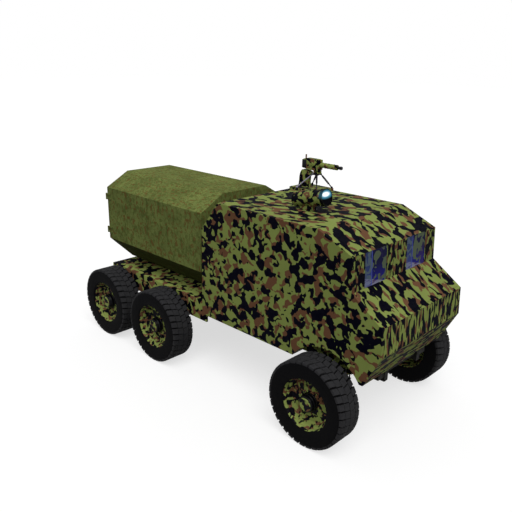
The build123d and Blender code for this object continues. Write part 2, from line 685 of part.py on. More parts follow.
def bonnet_seam():
    """Cutter for the seam across the bonnet."""
    fall = sqrt((NOSE_TOP[0] - SCREEN_LOW[0]) ** 2 + (SCREEN_LOW[1] - NOSE_TOP[1]) ** 2)
    along = ((SCREEN_LOW[0] - NOSE_TOP[0]) / fall, (SCREEN_LOW[1] - NOSE_TOP[1]) / fall)
    outline = []
    for back, deep in ((0, -1), (SEAM_W, -1), (SEAM_W, SEAM_DEPTH), (0, SEAM_DEPTH)):
        reach = SEAM_BACK + back
        outline.append((NOSE_TOP[0] + along[0] * reach - along[1] * deep,
                        NOSE_TOP[1] + along[1] * reach + along[0] * deep))
    return side_plate(outline, (-CAB_IN - 1, CAB_IN + 1))


def screen_wall(y, behind):
    """Part of the windscreen wall between two y values, and this far behind the panels."""
    low, high = CAB_INNER[4], CAB_INNER[5]
    outline = [SCREEN_LOW, SCREEN_TOP, high]
    if behind:
        outline += [(high[0] - behind, high[1]), (low[0] - behind, low[1])]
    return side_plate(outline + [low], y)


def windscreen_frame():
    """Thick upright wall: three posts joined by a low rail above and below each opening."""
    behind = SCREEN_WALL - CAB_WALL
    body = screen_wall((-CAB_IN, CAB_IN), behind)
    low, high = CAB_INNER[4][1] + SCREEN_RAIL, CAB_INNER[5][1] - SCREEN_RAIL
    for span in PANE_SPANS:
        body -= screen_wall(span, 0)
        body -= block((SCREEN_TOP[0] - SCREEN_WALL - behind, SCREEN_LOW[0]), span, (low, high))
    return body


def windscreen_panes():
    """The two thick panes, from the bonnet up to the visor."""
    outline = [between(SCREEN_LOW, CAB_INNER[4], PANE_INSET),
               between(SCREEN_TOP, CAB_INNER[5], PANE_INSET), CAB_INNER[5], CAB_INNER[4]]
    return [side_plate(outline, span) for span in PANE_SPANS]


def cab_floor():
    """Floor with the wheel arch liners and the engine's cover."""
    width = (-CAB_IN, CAB_IN)
    floor = side_plate([CAB_OUTLINE[0], CAB_OUTLINE[1], CAB_INNER[1], CAB_INNER[0]], width)
    cover_y = ENGINE_HALF_W + COVER_GAP + COVER_WALL
    cover_x = (ENGINE_X[0] - COVER_GAP - COVER_WALL, ENGINE_X[1] + COVER_GAP)
    cover_top = ENGINE_Z[1] + COVER_GAP + COVER_WALL
    cover = block(cover_x, (-cover_y, cover_y), (CAB_LOW + 1, cover_top))
    liner_r = ARCH_R + ARCH_WALL
    keep = block((-liner_r - 1, liner_r + 1), (ARCH_IN_Y, CAB_IN), (CAB_LOW, ROOF_Z))
    liner = arch(liner_r, (ARCH_IN_Y, CAB_IN)) & keep
    for side in SIDES.values():
        floor += mirrored(liner, side)
    floor += cover & side_plate(CAB_INNER, width)
    for side in SIDES.values():
        floor -= mirrored(arch(ARCH_R, (ARCH_IN_Y + ARCH_WALL, CAB_IN + 1)), side)
    bay_y = cover_y - COVER_WALL
    bay_z = (CAB_LOW - 1, cover_top - COVER_WALL)
    return floor - block((cover_x[0] + COVER_WALL, cover_x[1]), (-bay_y, bay_y), bay_z)


def hinge_ends(z):
    """Spans of a hinge's two fixed ends, below and above the door's sleeve."""
    reach = HINGE_L / 2 + HINGE_SLACK
    return ((z - reach - HINGE_END, z - reach), (z + reach, z + reach + HINGE_END))


def hinge_fixed(z):
    """Left panel's half of a door hinge: pin, its two ends and their leaf."""
    x, y = HINGE_X, CAB_HALF_W + HINGE_OUT
    leaf_y = (CAB_HALF_W, y - HINGE_PIN_R)
    low, high = hinge_ends(z)
    body = upright(x, y, (low[0], high[1]), HINGE_PIN_R)
    for end in (low, high):
        body += upright(x, y, end, HINGE_R)
        body += block((x, x + HINGE_LEAF), leaf_y, end)
    return body + block((x + HINGE_R + DOOR_GAP, x + HINGE_LEAF), leaf_y, (low[0], high[1]))


def hinge_sleeve(x, y, z, leaf):
    """Door's half of a hinge: a sleeve on the pin, with its leaf."""
    span = (z - HINGE_L / 2, z + HINGE_L / 2)
    cut = (span[0] - 1, span[1] + 1)
    return upright(x, y, span, HINGE_R) + leaf - upright(x, y, cut, HINGE_PIN_R + RUNNING_FIT)


def cab_door():
    """Left door: its slab, hinge sleeves and grab handle."""
    x = (DOOR_X[0] + DOOR_GAP, DOOR_X[1] - DOOR_GAP)
    body = block(x, (CAB_IN, CAB_HALF_W), (DOOR_Z[0] + DOOR_GAP, DOOR_Z[1] - DOOR_GAP))
    hinge_y = CAB_HALF_W + HINGE_OUT
    for z in HINGES_Z:
        leaf = block((HINGE_X - HINGE_LEAF, HINGE_X), (CAB_HALF_W, hinge_y - HINGE_PIN_R),
                     (z - HINGE_L / 2, z + HINGE_L / 2))
        body += hinge_sleeve(HINGE_X, hinge_y, z, leaf)
    handle_x, handle_y = x[0] + HANDLE_IN, CAB_HALF_W + HANDLE_OUT
    body += upright(handle_x, handle_y, HANDLE_Z, HANDLE_R)
    for z in (HANDLE_Z[0] + HANDLE_R, HANDLE_Z[1] - HANDLE_R):
        body += across(handle_x, (CAB_HALF_W - 1, handle_y), z, HANDLE_R)
    return body


def column_point(distance):
    """Point up the steering column from its foot."""
    lean = radians(COLUMN_LEAN)
    x, y, z = COLUMN_FOOT
    return (x - distance * sin(lean), y, z + distance * cos(lean))


def dashboard():
    """Dashboard across the cab, with the steering column."""
    flat, fall, drop = DASH_BEVEL
    near = DASH_X - DASH_DEPTH
    outline = [(DASH_X, DASH_LOW), (DASH_X, DASH_TOP - fall), (DASH_X - flat, DASH_TOP),
               (near, DASH_TOP - drop), (near, DASH_LOW)]
    body = side_plate(outline, (-CAB_IN, CAB_IN))
    body += rod(COLUMN_FOOT, column_point(COLUMN_L), COLUMN_R)
    return body + rod(COLUMN_FOOT, column_point(COLUMN_L + STUB_L), COLUMN_R / 2)


def steering_wheel():
    """Steering wheel with three spokes on the column's stub."""
    axis = Vector(*column_point(1)) - Vector(*COLUMN_FOOT)
    wheel = Pos(0, 0, WHEEL_RIM_T) * Torus(WHEEL_RIM_R, WHEEL_RIM_T)
    wheel += Pos(0, 0, WHEEL_HUB_T / 2) * Cylinder(COLUMN_R, WHEEL_HUB_T)
    for turn in (90, 210, 330):
        spoke = Pos(WHEEL_RIM_R / 2, 0, WHEEL_RIM_T) * Box(WHEEL_RIM_R, SPOKE_W, SPOKE_T)
        wheel += Rot(0, 0, turn) * spoke
    wheel -= Cylinder(COLUMN_R / 2 + RUNNING_FIT, 4 * WHEEL_HUB_T)
    return Plane(origin=column_point(COLUMN_L + HINGE_SLACK), z_dir=axis) * wheel


def seats():
    """Two seats: box, cushion and leaning back in one solid each."""
    rear, front = SEAT_BOX_X
    floor_z = CAB_LOW + CAB_WALL
    outline = [
        (rear, floor_z), (front, floor_z), (front, SEAT_BOX_TOP), (SEAT_FRONT_X, SEAT_BOX_TOP),
        (SEAT_FRONT_X, CUSHION_TOP), (CUSHION_END_X, CUSHION_TOP),
        (CUSHION_END_X - BACK_LEAN, BACK_TOP), (CUSHION_END_X - BACK_LEAN - BACK_T, BACK_TOP),
        (rear, SEAT_BOX_TOP),
    ]
    return [side_plate(outline, (y - SEAT_HALF_W, y + SEAT_HALF_W)) for y in SEAT_Y]


# ---- roof fittings ------------------------------------------------------------------
def sprung_leg(foot, top):
    """Leg with a row of collars along its middle."""
    leg = rod(foot, top, LEG_R)
    a, way = Vector(*foot), Vector(*top) - Vector(*foot)
    step = 0.55 / (STRUT_COLLARS - 1)
    for i in range(STRUT_COLLARS):
        share = 0.28 + step * i
        start, end = a + way * share, a + way * (share + step * 0.45)
        leg += rod(tuple(start), tuple(end), STRUT_COLLAR_R)
    return leg


def gun_stand():
    """Raised plate on the roof, four legs with ball feet, and the head with its pintle."""
    plate_y = (GUN_Y - STAND_PLATE_HALF, GUN_Y + STAND_PLATE_HALF)
    body = block(STAND_PLATE_X, plate_y, (ROOF_Z, PLATE_TOP))
    outer = Vector(STAND_FOOT_X[1] - GUN_X, STAND_FOOT_Y, 0).normalized() * LEG_ROOT
    head_z = (STAND_TOP - HEAD_T, STAND_TOP)
    for x in STAND_FOOT_X:
        for side in SIDES.values():
            foot = (x, GUN_Y + side * STAND_FOOT_Y, PLATE_TOP + FOOT_R / 2)
            along = (side if (x > GUN_X) == (side > 0) else 0) * outer
            top = (GUN_X + along.X, GUN_Y + along.Y, STAND_TOP - HEAD_T / 2)
            body += Pos(*foot) * Sphere(FOOT_R)
            if x > GUN_X and side > 0:
                body += sprung_leg(foot, top)
                continue
            body += rod(foot, top, LEG_R)
            if not along.length:
                body += rod(between(foot, top, 0.45), top, SLEEVE_R)
    long, wide = HEAD_HALF
    turn = Rot(0, 0, degrees(atan2(outer.Y, outer.X)))
    body += Pos(GUN_X, GUN_Y, sum(head_z) / 2) * turn * Box(2 * long, 2 * wide, HEAD_T)
    body += upright(GUN_X, GUN_Y, (STAND_TOP - 1.4 * HEAD_T, STAND_TOP), HEAD_R)
    return body + upright(GUN_X, GUN_Y, (STAND_TOP - HEAD_T, STAND_TOP + PINTLE_L), PINTLE_R)


def roof_gun():
    """Outer form of the gun in one solid piece, bored for its pintle."""
    outline = [(GUN_X + ahead, STAND_TOP + up) for ahead, up in RECEIVER]
    body = side_plate(outline, (GUN_Y - GUN_HALF_W, GUN_Y + GUN_HALF_W))
    (rear, front), half, height = TRUNNION
    body += block((GUN_X + rear, GUN_X + front), (GUN_Y - half, GUN_Y + half),
                  (STAND_TOP + HINGE_SLACK, STAND_TOP + height))
    jacket_end, muzzle_end = GUN_X + JACKET_END, GUN_X + MUZZLE_END
    body += rod((GUN_X, GUN_Y, BORE_Z), (jacket_end, GUN_Y, BORE_Z), JACKET_R)
    body += rod((jacket_end - 1, GUN_Y, BORE_Z), (muzzle_end, GUN_Y, BORE_Z), MUZZLE_R)
    start = GUN_X + RECEIVER[3][0]
    pitch = (jacket_end - start) / JACKET_RINGS
    for i in range(JACKET_RINGS):
        ring_x = start + pitch * (i + 0.6)
        body += rod((ring_x, GUN_Y, BORE_Z), (ring_x + pitch * 0.4, GUN_Y, BORE_Z), JACKET_RING_R)
    sight_z = (STAND_TOP + RECEIVER[1][1], STAND_TOP + RECEIVER[2][1] + SIGHT_H)
    body += block((GUN_X + SIGHT_X[0], GUN_X + SIGHT_X[1]),
                  (GUN_Y - SIGHT_HALF_W, GUN_Y + SIGHT_HALF_W), sight_z)
    bore = (STAND_TOP, STAND_TOP + PINTLE_L + 1)
    return body - upright(GUN_X, GUN_Y, bore, PINTLE_R + RUNNING_FIT)


def gun_chute():
    """Curved feed chute that stands on the plate behind the pintle."""
    outline = [(GUN_X - behind, PLATE_TOP + up) for behind, up in CHUTE]
    return side_plate(outline, (GUN_Y - CHUTE_HALF_W, GUN_Y + CHUTE_HALF_W))


def lamp_point(distance):
    """Point on the searchlight's axis, ahead of the middle of its rear dome."""
    lean = radians(LAMP_TILT)
    start_x, start_z = LAMP_REAR_X + LAMP_R * LAMP_DOME, ROOF_Z + LAMP_LIFT + LAMP_R
    return (start_x + distance * cos(lean), LAMP_Y, start_z + distance * sin(lean))


def searchlight():
    """Lamp drum with a rounded rear end, band, bezel and low saddle; and its lens."""
    length = LAMP_L - LAMP_R * LAMP_DOME
    body = rod(lamp_point(0), lamp_point(length), LAMP_R)
    way = Vector(*lamp_point(1)) - Vector(*lamp_point(0))
    body += Plane(origin=lamp_point(0), z_dir=way) * scale(Sphere(LAMP_R), by=(1, 1, LAMP_DOME))
    band = length - BAND_BACK
    body += rod(lamp_point(band), lamp_point(band + BAND_L), BEZEL_R)
    body += rod(lamp_point(length - BEZEL_L), lamp_point(length), BEZEL_R)
    pocket_r = BEZEL_R - BEZEL_WALL
    body -= rod(lamp_point(length - LENS_DEPTH), lamp_point(length + 1), pocket_r)
    lens = rod(lamp_point(length - LENS_DEPTH), lamp_point(length - LENS_PROUD), pocket_r)
    body += block((lamp_point(LAMP_R)[0], lamp_point(band)[0]),
                  (LAMP_Y - LAMP_R / 2, LAMP_Y + LAMP_R / 2), (ROOF_Z, lamp_point(0)[2]))
    return body, lens


# ---- load body ----------------------------------------------------------------------
def octagon(shrink):
    """End view of the load body, moved inwards by a wall."""
    halves = (LOAD_LOW_HALF, LOAD_HALF_W, LOAD_HALF_W, LOAD_TOP_HALF)
    right = list(zip(halves, LOAD_Z))
    outline = right + [(-y, z) for y, z in reversed(right)]
    return inner_offset(outline, shrink) if shrink else outline


FLOOR_HALF = octagon(LOAD_WALL)[0][0]


def load_body():
    """Eight-sided shell with its front wall, open where the floor lies and at the rear."""
    wall_x = LOAD_FRONT_X - LOAD_WALL
    shell = end_plate(octagon(0), (SHELL_REAR_X, LOAD_FRONT_X))
    shell -= end_plate(octagon(LOAD_WALL), (SHELL_REAR_X - 1, wall_x))
    shell -= block((SHELL_REAR_X - 1, wall_x), (-FLOOR_HALF, FLOOR_HALF),
                   (LOAD_Z[0] - 1, LOAD_Z[0] + LOAD_WALL))
    for side in SIDES.values():
        for z in LOAD_HINGES_Z:
            shell += mirrored(load_hinge_fixed(z), side)
    return shell


def load_hinge_fixed(z):
    """Shell's half of a rear door hinge."""
    x, y = LOAD_HINGE_X, LOAD_HALF_W + HINGE_OUT
    low, high = hinge_ends(z)
    body = upright(x, y, (low[0], high[1]), HINGE_PIN_R)
    for end in (low, high):
        body += upright(x, y, end, HINGE_R)
        body += block((x, SHELL_REAR_X + HINGE_LEAF), (LOAD_HALF_W + LOAD_DOOR_GAP, y), end)
        body += block((SHELL_REAR_X, SHELL_REAR_X + HINGE_LEAF), (LOAD_HALF_W - 1, y), end)
    return body


def load_floor():
    """Floor between the lower slopes, on bearers across the deck."""
    width = (-FLOOR_HALF, FLOOR_HALF)
    length = (SHELL_REAR_X, LOAD_FRONT_X - LOAD_WALL)
    body = block(length, width, (LOAD_Z[0], LOAD_Z[0] + LOAD_WALL))
    for x in BEARER_X:
        body += block((x - BEARER_W / 2, x + BEARER_W / 2), width, (DECK_TOP, LOAD_Z[0]))
    return body


def load_door(side):
    """One leaf of the rear doors, half of the octagon, with its hinge sleeves."""
    middle = LOAD_DOOR_GAP / 2
    half = [(y, z) for y, z in octagon(0) if y > 0]
    outline = [(middle, LOAD_Z[0])] + half + [(middle, LOAD_Z[3])]
    body = end_plate(outline, (LOAD_REAR_X, LOAD_REAR_X + LOAD_DOOR_T))
    hinge_y = LOAD_HALF_W + HINGE_OUT
    for z in LOAD_HINGES_Z:
        leaf = block((LOAD_HINGE_X, LOAD_REAR_X), (hinge_y - HINGE_LEAF, hinge_y),
                     (z - HINGE_L / 2, z + HINGE_L / 2))
        body += hinge_sleeve(LOAD_HINGE_X, hinge_y, z, leaf)
    if side < 0:
        latch_y = (middle + LATCH_W, middle + 2 * LATCH_W)
        body += block((LOAD_HINGE_X, LOAD_REAR_X), latch_y, LATCH_Z)
    return mirrored(body, side)


# ---- parts --------------------------------------------------------------------------
def write(name, *solids):
    """One STEP file for a node, from one solid or several."""
    loose = [placed(solid) for solid in solids]
    model = loose[0] if len(loose) == 1 else Compound(children=loose)
    export_step(model, f"parts/{name}.step")


os.makedirs("parts", exist_ok=True)
write("frame", *frame())
write("deck", *deck())
write("powertrain", *powertrain())
write("leaf_springs", *leaf_springs())
write("front_axle", front_axle())
write("middle_axle", Pos(AXLES["middle"], 0, 0) * driven_axle(-1, (-1, 1)))
write("rear_axle", Pos(REAR_X, 0, 0) * driven_axle(1, (1,)))
write("tail_lamps", *tail_lamps())
write("track_rod", track_rod())
write("cab_floor", cab_floor())
write("cab_roof", cab_panel(5, 6, 7))
write("cab_rear_wall", cab_panel(7, 8, 0))
write("cab_bonnet", cab_panel(3, 4) - bonnet_seam())
write("cab_nose", cab_panel(1, 2, 3))
write("windscreen_frame", windscreen_frame())
write("windscreen_panes", *windscreen_panes())
write("cab_door", cab_door())
write("dashboard", dashboard())
write("steering_wheel", steering_wheel())
write("seats", *seats())
write("gun_stand", gun_stand())
write("roof_gun", roof_gun())
write("gun_chute", gun_chute())
lamp, lens = searchlight()
write("searchlight", lamp)
write("searchlight_lens", lens)
write("load_body", load_body())
write("load_floor", load_floor())
one_tyre, one_rim = tyre(), rim()
for name, side in SIDES.items():
    write(f"cab_side_{name}", cab_side(side))
    write(f"knuckle_{name}", knuckle(side))
    write(f"load_door_{name}", load_door(side))
    for axle, x in AXLES.items():
        place = Pos(x, side * WHEEL_Y, TYRE_R)
        write(f"tyre_{axle}_{name}", place * one_tyre)
        write(f"rim_{axle}_{name}", place * mirrored(one_rim, side))
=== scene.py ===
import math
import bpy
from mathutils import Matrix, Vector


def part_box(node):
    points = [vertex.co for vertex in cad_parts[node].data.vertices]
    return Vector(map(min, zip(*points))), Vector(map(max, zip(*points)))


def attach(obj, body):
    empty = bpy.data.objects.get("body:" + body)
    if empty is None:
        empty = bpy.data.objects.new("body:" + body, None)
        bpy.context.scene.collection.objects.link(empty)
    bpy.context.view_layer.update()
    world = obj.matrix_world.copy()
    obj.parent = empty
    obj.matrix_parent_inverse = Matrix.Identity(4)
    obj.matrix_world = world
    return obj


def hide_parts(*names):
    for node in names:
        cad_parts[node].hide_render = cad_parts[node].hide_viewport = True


bl_info = {
    "name": "Six-wheeled camouflage truck",
    "version": (1, 0, 0),
    "blender": (4, 5, 0),
    "location": "3D View > Sidebar > Truck",
    "description": "Paints the packed truck, adds tyres, fittings and seats, and sets the studio",
    "category": "Object",
}

import bmesh
import bpy
from mathutils import Matrix, Vector

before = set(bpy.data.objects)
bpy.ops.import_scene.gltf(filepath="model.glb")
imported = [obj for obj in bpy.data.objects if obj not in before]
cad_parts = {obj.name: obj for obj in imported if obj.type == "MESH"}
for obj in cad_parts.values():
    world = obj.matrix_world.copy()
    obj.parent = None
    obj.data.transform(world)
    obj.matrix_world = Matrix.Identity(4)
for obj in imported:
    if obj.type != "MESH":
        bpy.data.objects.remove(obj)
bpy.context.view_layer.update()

AXLES = ("front", "middle", "rear")
WHEELS = [f"{axle}_{side}" for axle in AXLES for side in ("left", "right")]
MM = 0.001


# ---- colour and shader helpers ------------------------------------------------------
def linear(code):
    """sRGB hex code to linear red, green and blue."""
    values = [int(code[i:i + 2], 16) / 255 for i in (1, 3, 5)]
    return tuple(v / 12.92 if v <= 0.04045 else ((v + 0.055) / 1.055) ** 2.4 for v in values)


def scaled(coat, factor):
    """Colour made brighter or darker."""
    return [part * factor for part in coat]


def add(tree, kind, *values, out=0, **settings):
    """Adds one node with its settings and inputs, and returns what it puts out.

    Values go to the inputs in order, and a dictionary names its inputs. A colour is a hex
    code or red, green and blue, and gets full opacity.
    """
    node = tree.nodes.new("ShaderNode" + kind)
    for key, value in settings.items():
        setattr(node, key, value)
    inputs = {}
    for place, value in enumerate(values):
        inputs.update(value if isinstance(value, dict) else {place: value})
    for name, value in inputs.items():
        socket = node.inputs[name]
        if isinstance(value, bpy.types.NodeSocket):
            tree.links.new(value, socket)
        elif socket.type == "RGBA":
            socket.default_value = (*(linear(value) if isinstance(value, str) else value), 1.0)
        else:
            socket.default_value = value
    if isinstance(out, tuple):
        return [node.outputs[name] for name in out]
    return node.outputs[out] if node.outputs else None


# Settings with which a Mix node blends two colours, its inputs 6 and 7.
COLOURS = {"data_type": "RGBA", "out": 2}


def grain(size, detail=2.0, roughness=0.5, distortion=0.0):
    """Inputs of a noise whose patches are about this many metres across."""
    return {"Scale": 1 / size, "Detail": detail, "Roughness": roughness,
            "Distortion": distortion}


def blank(name):
    """New material with an empty node tree."""
    material = bpy.data.materials.new(name)
    material.use_nodes = True
    material.node_tree.nodes.clear()
    return material.node_tree


def placed(tree, stretch=(1, 1, 1), shift=(0, 0, 0)):
    """Object coordinates, shifted and then divided by a stretch along each axis."""
    return add(tree, "Mapping", add(tree, "TexCoord", out="Object"),
               {"Location": shift, "Scale": stretch}, vector_type="TEXTURE")


def axes(tree):
    """Object coordinates along X, Y and Z."""
    return add(tree, "SeparateXYZ", add(tree, "TexCoord", out="Object"), out=("X", "Y", "Z"))


def coated(tree, base, *coats):
    """Colour under coats: pattern, where it starts and is full, its most, and its colour.

    A start above the full value brings a coat in as the pattern falls.
    """
    for pattern, start, full, most, coat in coats:
        share = add(tree, "MapRange", pattern, start, full, 0.0, most)
        base = add(tree, "Mix", share, {6: base, 7: coat}, **COLOURS)
    return base


def ridges(tree, along, rate):
    """Sine wave along a value in metres, turning at a rate in radians a metre."""
    turned = add(tree, "Math", along, rate, operation="MULTIPLY")
    return add(tree, "Math", turned, operation="SINE")


def surface(tree, base, rough, bump=None, sockets=None):
    """Principled surface to the material's output.

    Rough is a value, or a pattern, its range and the roughness at both ends of it. Bump is
    a height, its strength and the distance that it stands for.
    """
    links = {"Base Color": base, "Roughness": rough, **(sockets or {})}
    if isinstance(rough, tuple):
        links["Roughness"] = add(tree, "MapRange", *rough)
    if bump:
        names = ("Height", "Strength", "Distance")
        links["Normal"] = add(tree, "Bump", dict(zip(names, bump)))
    add(tree, "OutputMaterial", {"Surface": add(tree, "BsdfPrincipled", links)})


# ---- mesh helpers -------------------------------------------------------------------
def rounded(bm, edges, offset, segments):
    """Bevels edges and returns the faces that this makes."""
    return bmesh.ops.bevel(bm, geom=edges, offset=offset, segments=segments, profile=0.5,
                           affect="EDGES", material=-1)["faces"]


def box(bm, centre, size, turn=None, bevel=0.0, segments=2):
    """Box about a centre, with its edges rounded."""
    place = Matrix.Translation(centre) @ (turn or Matrix()) @ Matrix.Diagonal((*size, 1))
    verts = bmesh.ops.create_cube(bm, size=1.0, matrix=place)["verts"]
    if bevel:
        rounded(bm, list({edge for vert in verts for edge in vert.link_edges}), bevel, segments)


def span_box(bm, corner, other, bevel=0.0, segments=2):
    """Box between two opposite corners."""
    corner, other = Vector(corner), Vector(other)
    size = [abs(side) for side in other - corner]
    box(bm, (corner + other) / 2, size, bevel=bevel, segments=segments)


def rod(bm, start, end, radius, sides=16, end_radius=None):
    """Round or many-sided bar between two points."""
    start, end = Vector(start), Vector(end)
    way = end - start
    turn = way.to_track_quat("Z", "Y").to_matrix().to_4x4()
    bmesh.ops.create_cone(bm, cap_ends=True, segments=sides, radius1=radius,
                          radius2=radius if end_radius is None else end_radius,
                          depth=way.length, matrix=Matrix.Translation((start + end) / 2) @ turn)


def bolt(bm, foot, way, radius):
    """Hexagon head on a washer, standing at a foot along a direction."""
    foot, way = Vector(foot), Vector(way).normalized()
    rod(bm, foot - way * radius * 0.1, foot + way * radius * 0.25, radius * 1.35, 16)
    rod(bm, foot, foot + way * radius * 0.9, radius, 6, radius * 0.94)


def spun(bm, profile, steps):
    """Closed outline of (y, radius) points in millimetres, spun about the Y axis."""
    verts = [bm.verts.new((0, y * MM, radius * MM)) for y, radius in profile]
    edges = [bm.edges.new(pair) for pair in zip(verts, verts[1:] + verts[:1])]
    bmesh.ops.spin(bm, geom=verts + edges, cent=(0, 0, 0), axis=(0, 1, 0),
                   angle=2 * math.pi, steps=steps, use_merge=True)


def to_mesh(name, bm, smooth=35):
    """Closed, outward-facing mesh from a bmesh, smooth up to an angle between faces."""
    bmesh.ops.remove_doubles(bm, verts=bm.verts, dist=2e-6)
    bmesh.ops.recalc_face_normals(bm, faces=bm.faces)
    mesh = bpy.data.meshes.new(name)
    bm.to_mesh(mesh)
    bm.free()
    mesh.shade_smooth()
    mesh.set_sharp_from_angle(angle=math.radians(smooth))
    return mesh


def piece(name, mesh, body, *materials, slot=None):
    """Object for a mesh that already stands in its place, riding on a body."""
    made = bpy.data.objects.new(name, mesh)
    bpy.context.scene.collection.objects.link(made)
    for material in materials:
        mesh.materials.append(bpy.data.materials[material])
    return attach(made, body)


def steel_piece(name, bm, body):
    """Piece of phosphated steel from a bmesh, riding on a body."""
    return piece(name, to_mesh(name, bm), body, "Phosphated steel", slot="dark_steel")


def middle(node):
    """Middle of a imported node's box."""
    low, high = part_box(node)
    return (low + high) / 2


# ---- values a user would change -----------------------------------------------------
def colour(label, text, code):
    """Colour property with its default from a hex code."""
    return bpy.props.FloatVectorProperty(name=label, description=text, subtype="COLOR", size=3,
                                         min=0, max=1, default=linear(code))


def size_of(label, text, default):
    """Length property in metres."""
    return bpy.props.FloatProperty(name=label, description=text, default=default, min=0,
                                   unit="LENGTH", precision=4)


def angle_of(label, text, degrees):
    """Angle property with its default in degrees."""
    return bpy.props.FloatProperty(name=label, description=text, subtype="ANGLE",
                                   default=math.radians(degrees))


def number(label, text, default, **limits):
    """Plain number property with its limits."""
    return bpy.props.FloatProperty(name=label, description=text, default=default, **limits)


class TruckPaint(bpy.types.PropertyGroup):
    green: colour("Camouflage green", "Base coat of the camouflage", "#87954f")
    brown: colour("Camouflage brown", "Second colour of the camouflage", "#6a4a35")
    black: colour("Camouflage black", "Third colour of the camouflage", "#02020c")
    olive: colour("Load body olive", "Base coat of the load body", "#6f7a43")
    fleck: colour("Load body fleck", "Brown flecks in the load body's coat", "#6a4527")
    dust: colour("Road dust", "Dust that settles on the lower parts", "#7d7560")
    blob: size_of("Patch size", "Camouflage patch size on the cab", 0.34)
    small_blob: size_of("Small patch size", "Camouflage patch size on small pieces", 0.13)


class TruckTread(bpy.types.PropertyGroup):
    blocks: bpy.props.IntProperty(name="Blocks round", description="Blocks in each ring of tread",
                                  default=36, min=12, max=60)
    depth: size_of("Tread depth", "Height of the blocks above the carcass", 0.022)
    groove: size_of("Rib groove", "Width of the grooves that run round the tyre", 0.009)
    slant: number("Slant", "How far cross grooves lean, as a share", 0.22, min=0, max=1)


class TruckSeat(bpy.types.PropertyGroup):
    cloth: colour("Seat cloth", "Woven cloth of the cushions", "#4a4f34")
    swell: size_of("Swell", "Most that a cushion's cloth stands out", 0.016)
    channel: size_of("Channel depth", "Depth of the sewn channels", 0.007)


class TruckStudio(bpy.types.PropertyGroup):
    distance: size_of("Camera distance", "Camera from its target", 9.322)
    azimuth: angle_of("Azimuth", "Camera round the truck", 43.82)
    elevation: angle_of("Elevation", "Camera above the horizon", 18.44)
    roll: angle_of("Roll", "Camera turned about its own axis", 1.17)
    lens: number("Lens", "Focal length in millimetres", 41.25, min=10, max=200)
    sun: number("Key light", "Strength of the soft key light", 1.68, min=0)
    sky: number("Fill light", "Strength of the even fill light", 0.46, min=0)


# ---- finishes -----------------------------------------------------------------------
# Places that the finishes follow, in metres.
WHEEL_WELL = (0.335, 0.350)   # radii where the change to a wheel's well starts and ends
WHEEL_LIP = (0.366, 0.370)    # radii where the change to its lip starts and ends
NOSE_EDGE_Z = 1.393           # where the nose turns under to the chin
PINTLE_X = 0.365              # the gun's pintle from the rear end of its stand
LOW_SLOPE_TOP = 1.592         # top of the load body's slopes that face down
PANE_HALF = 0.24              # half the width of a windscreen pane
REVEAL_W = 0.15               # width of the paler strip in a pane
LAMP_RING = (0.118, 0.120)    # radius where the black round the searchlight's glass ends
HOT_SPOT = Vector((0.0, -0.012, 0.042))       # from the middle of that glass

# Orange peel of sprayed paint, about 2 mm, drawn 9 mm wide so that it shows, and the
# height in metres that it stands for.
PEEL = grain(9 * MM)
FINE = 0.8 * MM


def camouflage_colour(tree, vector, size, darker=0.0, painted_light_gain=1.0):
    """Three-colour patches with ragged outlines and crisp sprayed edges."""
    paint = bpy.context.scene.truck_paint
    # painted_light_gain brightens the green and brown: painted light for parts that lie in shade.
    green = scaled(paint.green, painted_light_gain)
    apart = add(tree, "VectorMath", vector, (7.3, 2.1, 4.7), operation="ADD")
    dark = add(tree, "TexNoise", vector, grain(size * 0.3, 1.6, 0.35, 0.5))
    dark = add(tree, "Math", dark, darker)
    warm = add(tree, "TexNoise", apart, grain(size * 0.32, 1.6, 0.35, 0.4))
    tone = add(tree, "TexNoise", vector, grain(size * 1.9, 3.0))
    return coated(tree, green, (tone, 0.35, 0.65, 1.0, scaled(green, 0.86)),
                  (warm, 0.545, 0.560, 1.0, scaled(paint.brown, painted_light_gain)),
                  (dark, 0.522, 0.535, 1.0, paint.black))


def dusted(tree, base, most):
    """Colour with road dust that thickens towards the ground."""
    place = add(tree, "TexCoord", out="Object")
    height = add(tree, "MapRange", axes(tree)[2], 0.2, 1.3, 1.0, 0.0)
    patches = add(tree, "TexNoise", place, grain(80 * MM, 4.0, 0.6))
    patches = add(tree, "MapRange", patches, 0.35, 0.75)
    share = add(tree, "Math", height, patches, operation="MULTIPLY")
    share = add(tree, "Math", share, most, operation="MULTIPLY")
    dust = bpy.context.scene.truck_paint.dust
    return add(tree, "Mix", share, {6: base, 7: dust}, **COLOURS)


def nearest_axle(tree):
    """Distance from the axis of the nearest wheel, in metres."""
    place = add(tree, "TexCoord", out="Object")
    flat = add(tree, "VectorMath", place, (1, 0, 1), operation="MULTIPLY")
    nearest = 9.0      # more than the truck is long
    for axle in AXLES:
        hub = middle(f"tyre_{axle}_left")
        reach = add(tree, "VectorMath", flat, (hub.x, 0, hub.z), out="Value",
                    operation="DISTANCE")
        nearest = add(tree, "Math", reach, nearest, operation="MINIMUM")
    return nearest


def wheel_paint(name, size):
    """Camouflaged pressed steel: more black in the wheel's well as painted shade, a little less
    on its lip.
    """
    tree = blank(name)
    reach = nearest_axle(tree)
    # More black patches in the well: painted shade in the rim's recess.
    well = add(tree, "MapRange", reach, *WHEEL_WELL, 0.0, 0.025)
    lip = add(tree, "MapRange", reach, *WHEEL_LIP, 0.0, -0.035)
    darker = add(tree, "Math", well, lip)
    # The wheels' green and brown are painted 15% brighter as painted light.
    base = dusted(tree, camouflage_colour(tree, placed(tree), size, darker, 1.15), 0.03)
    peel = add(tree, "TexNoise", placed(tree), PEEL)
    surface(tree, base, (peel, 0.3, 0.7, 0.5, 0.66), (peel, 0.2, FINE),
            {"Specular IOR Level": 0.05})


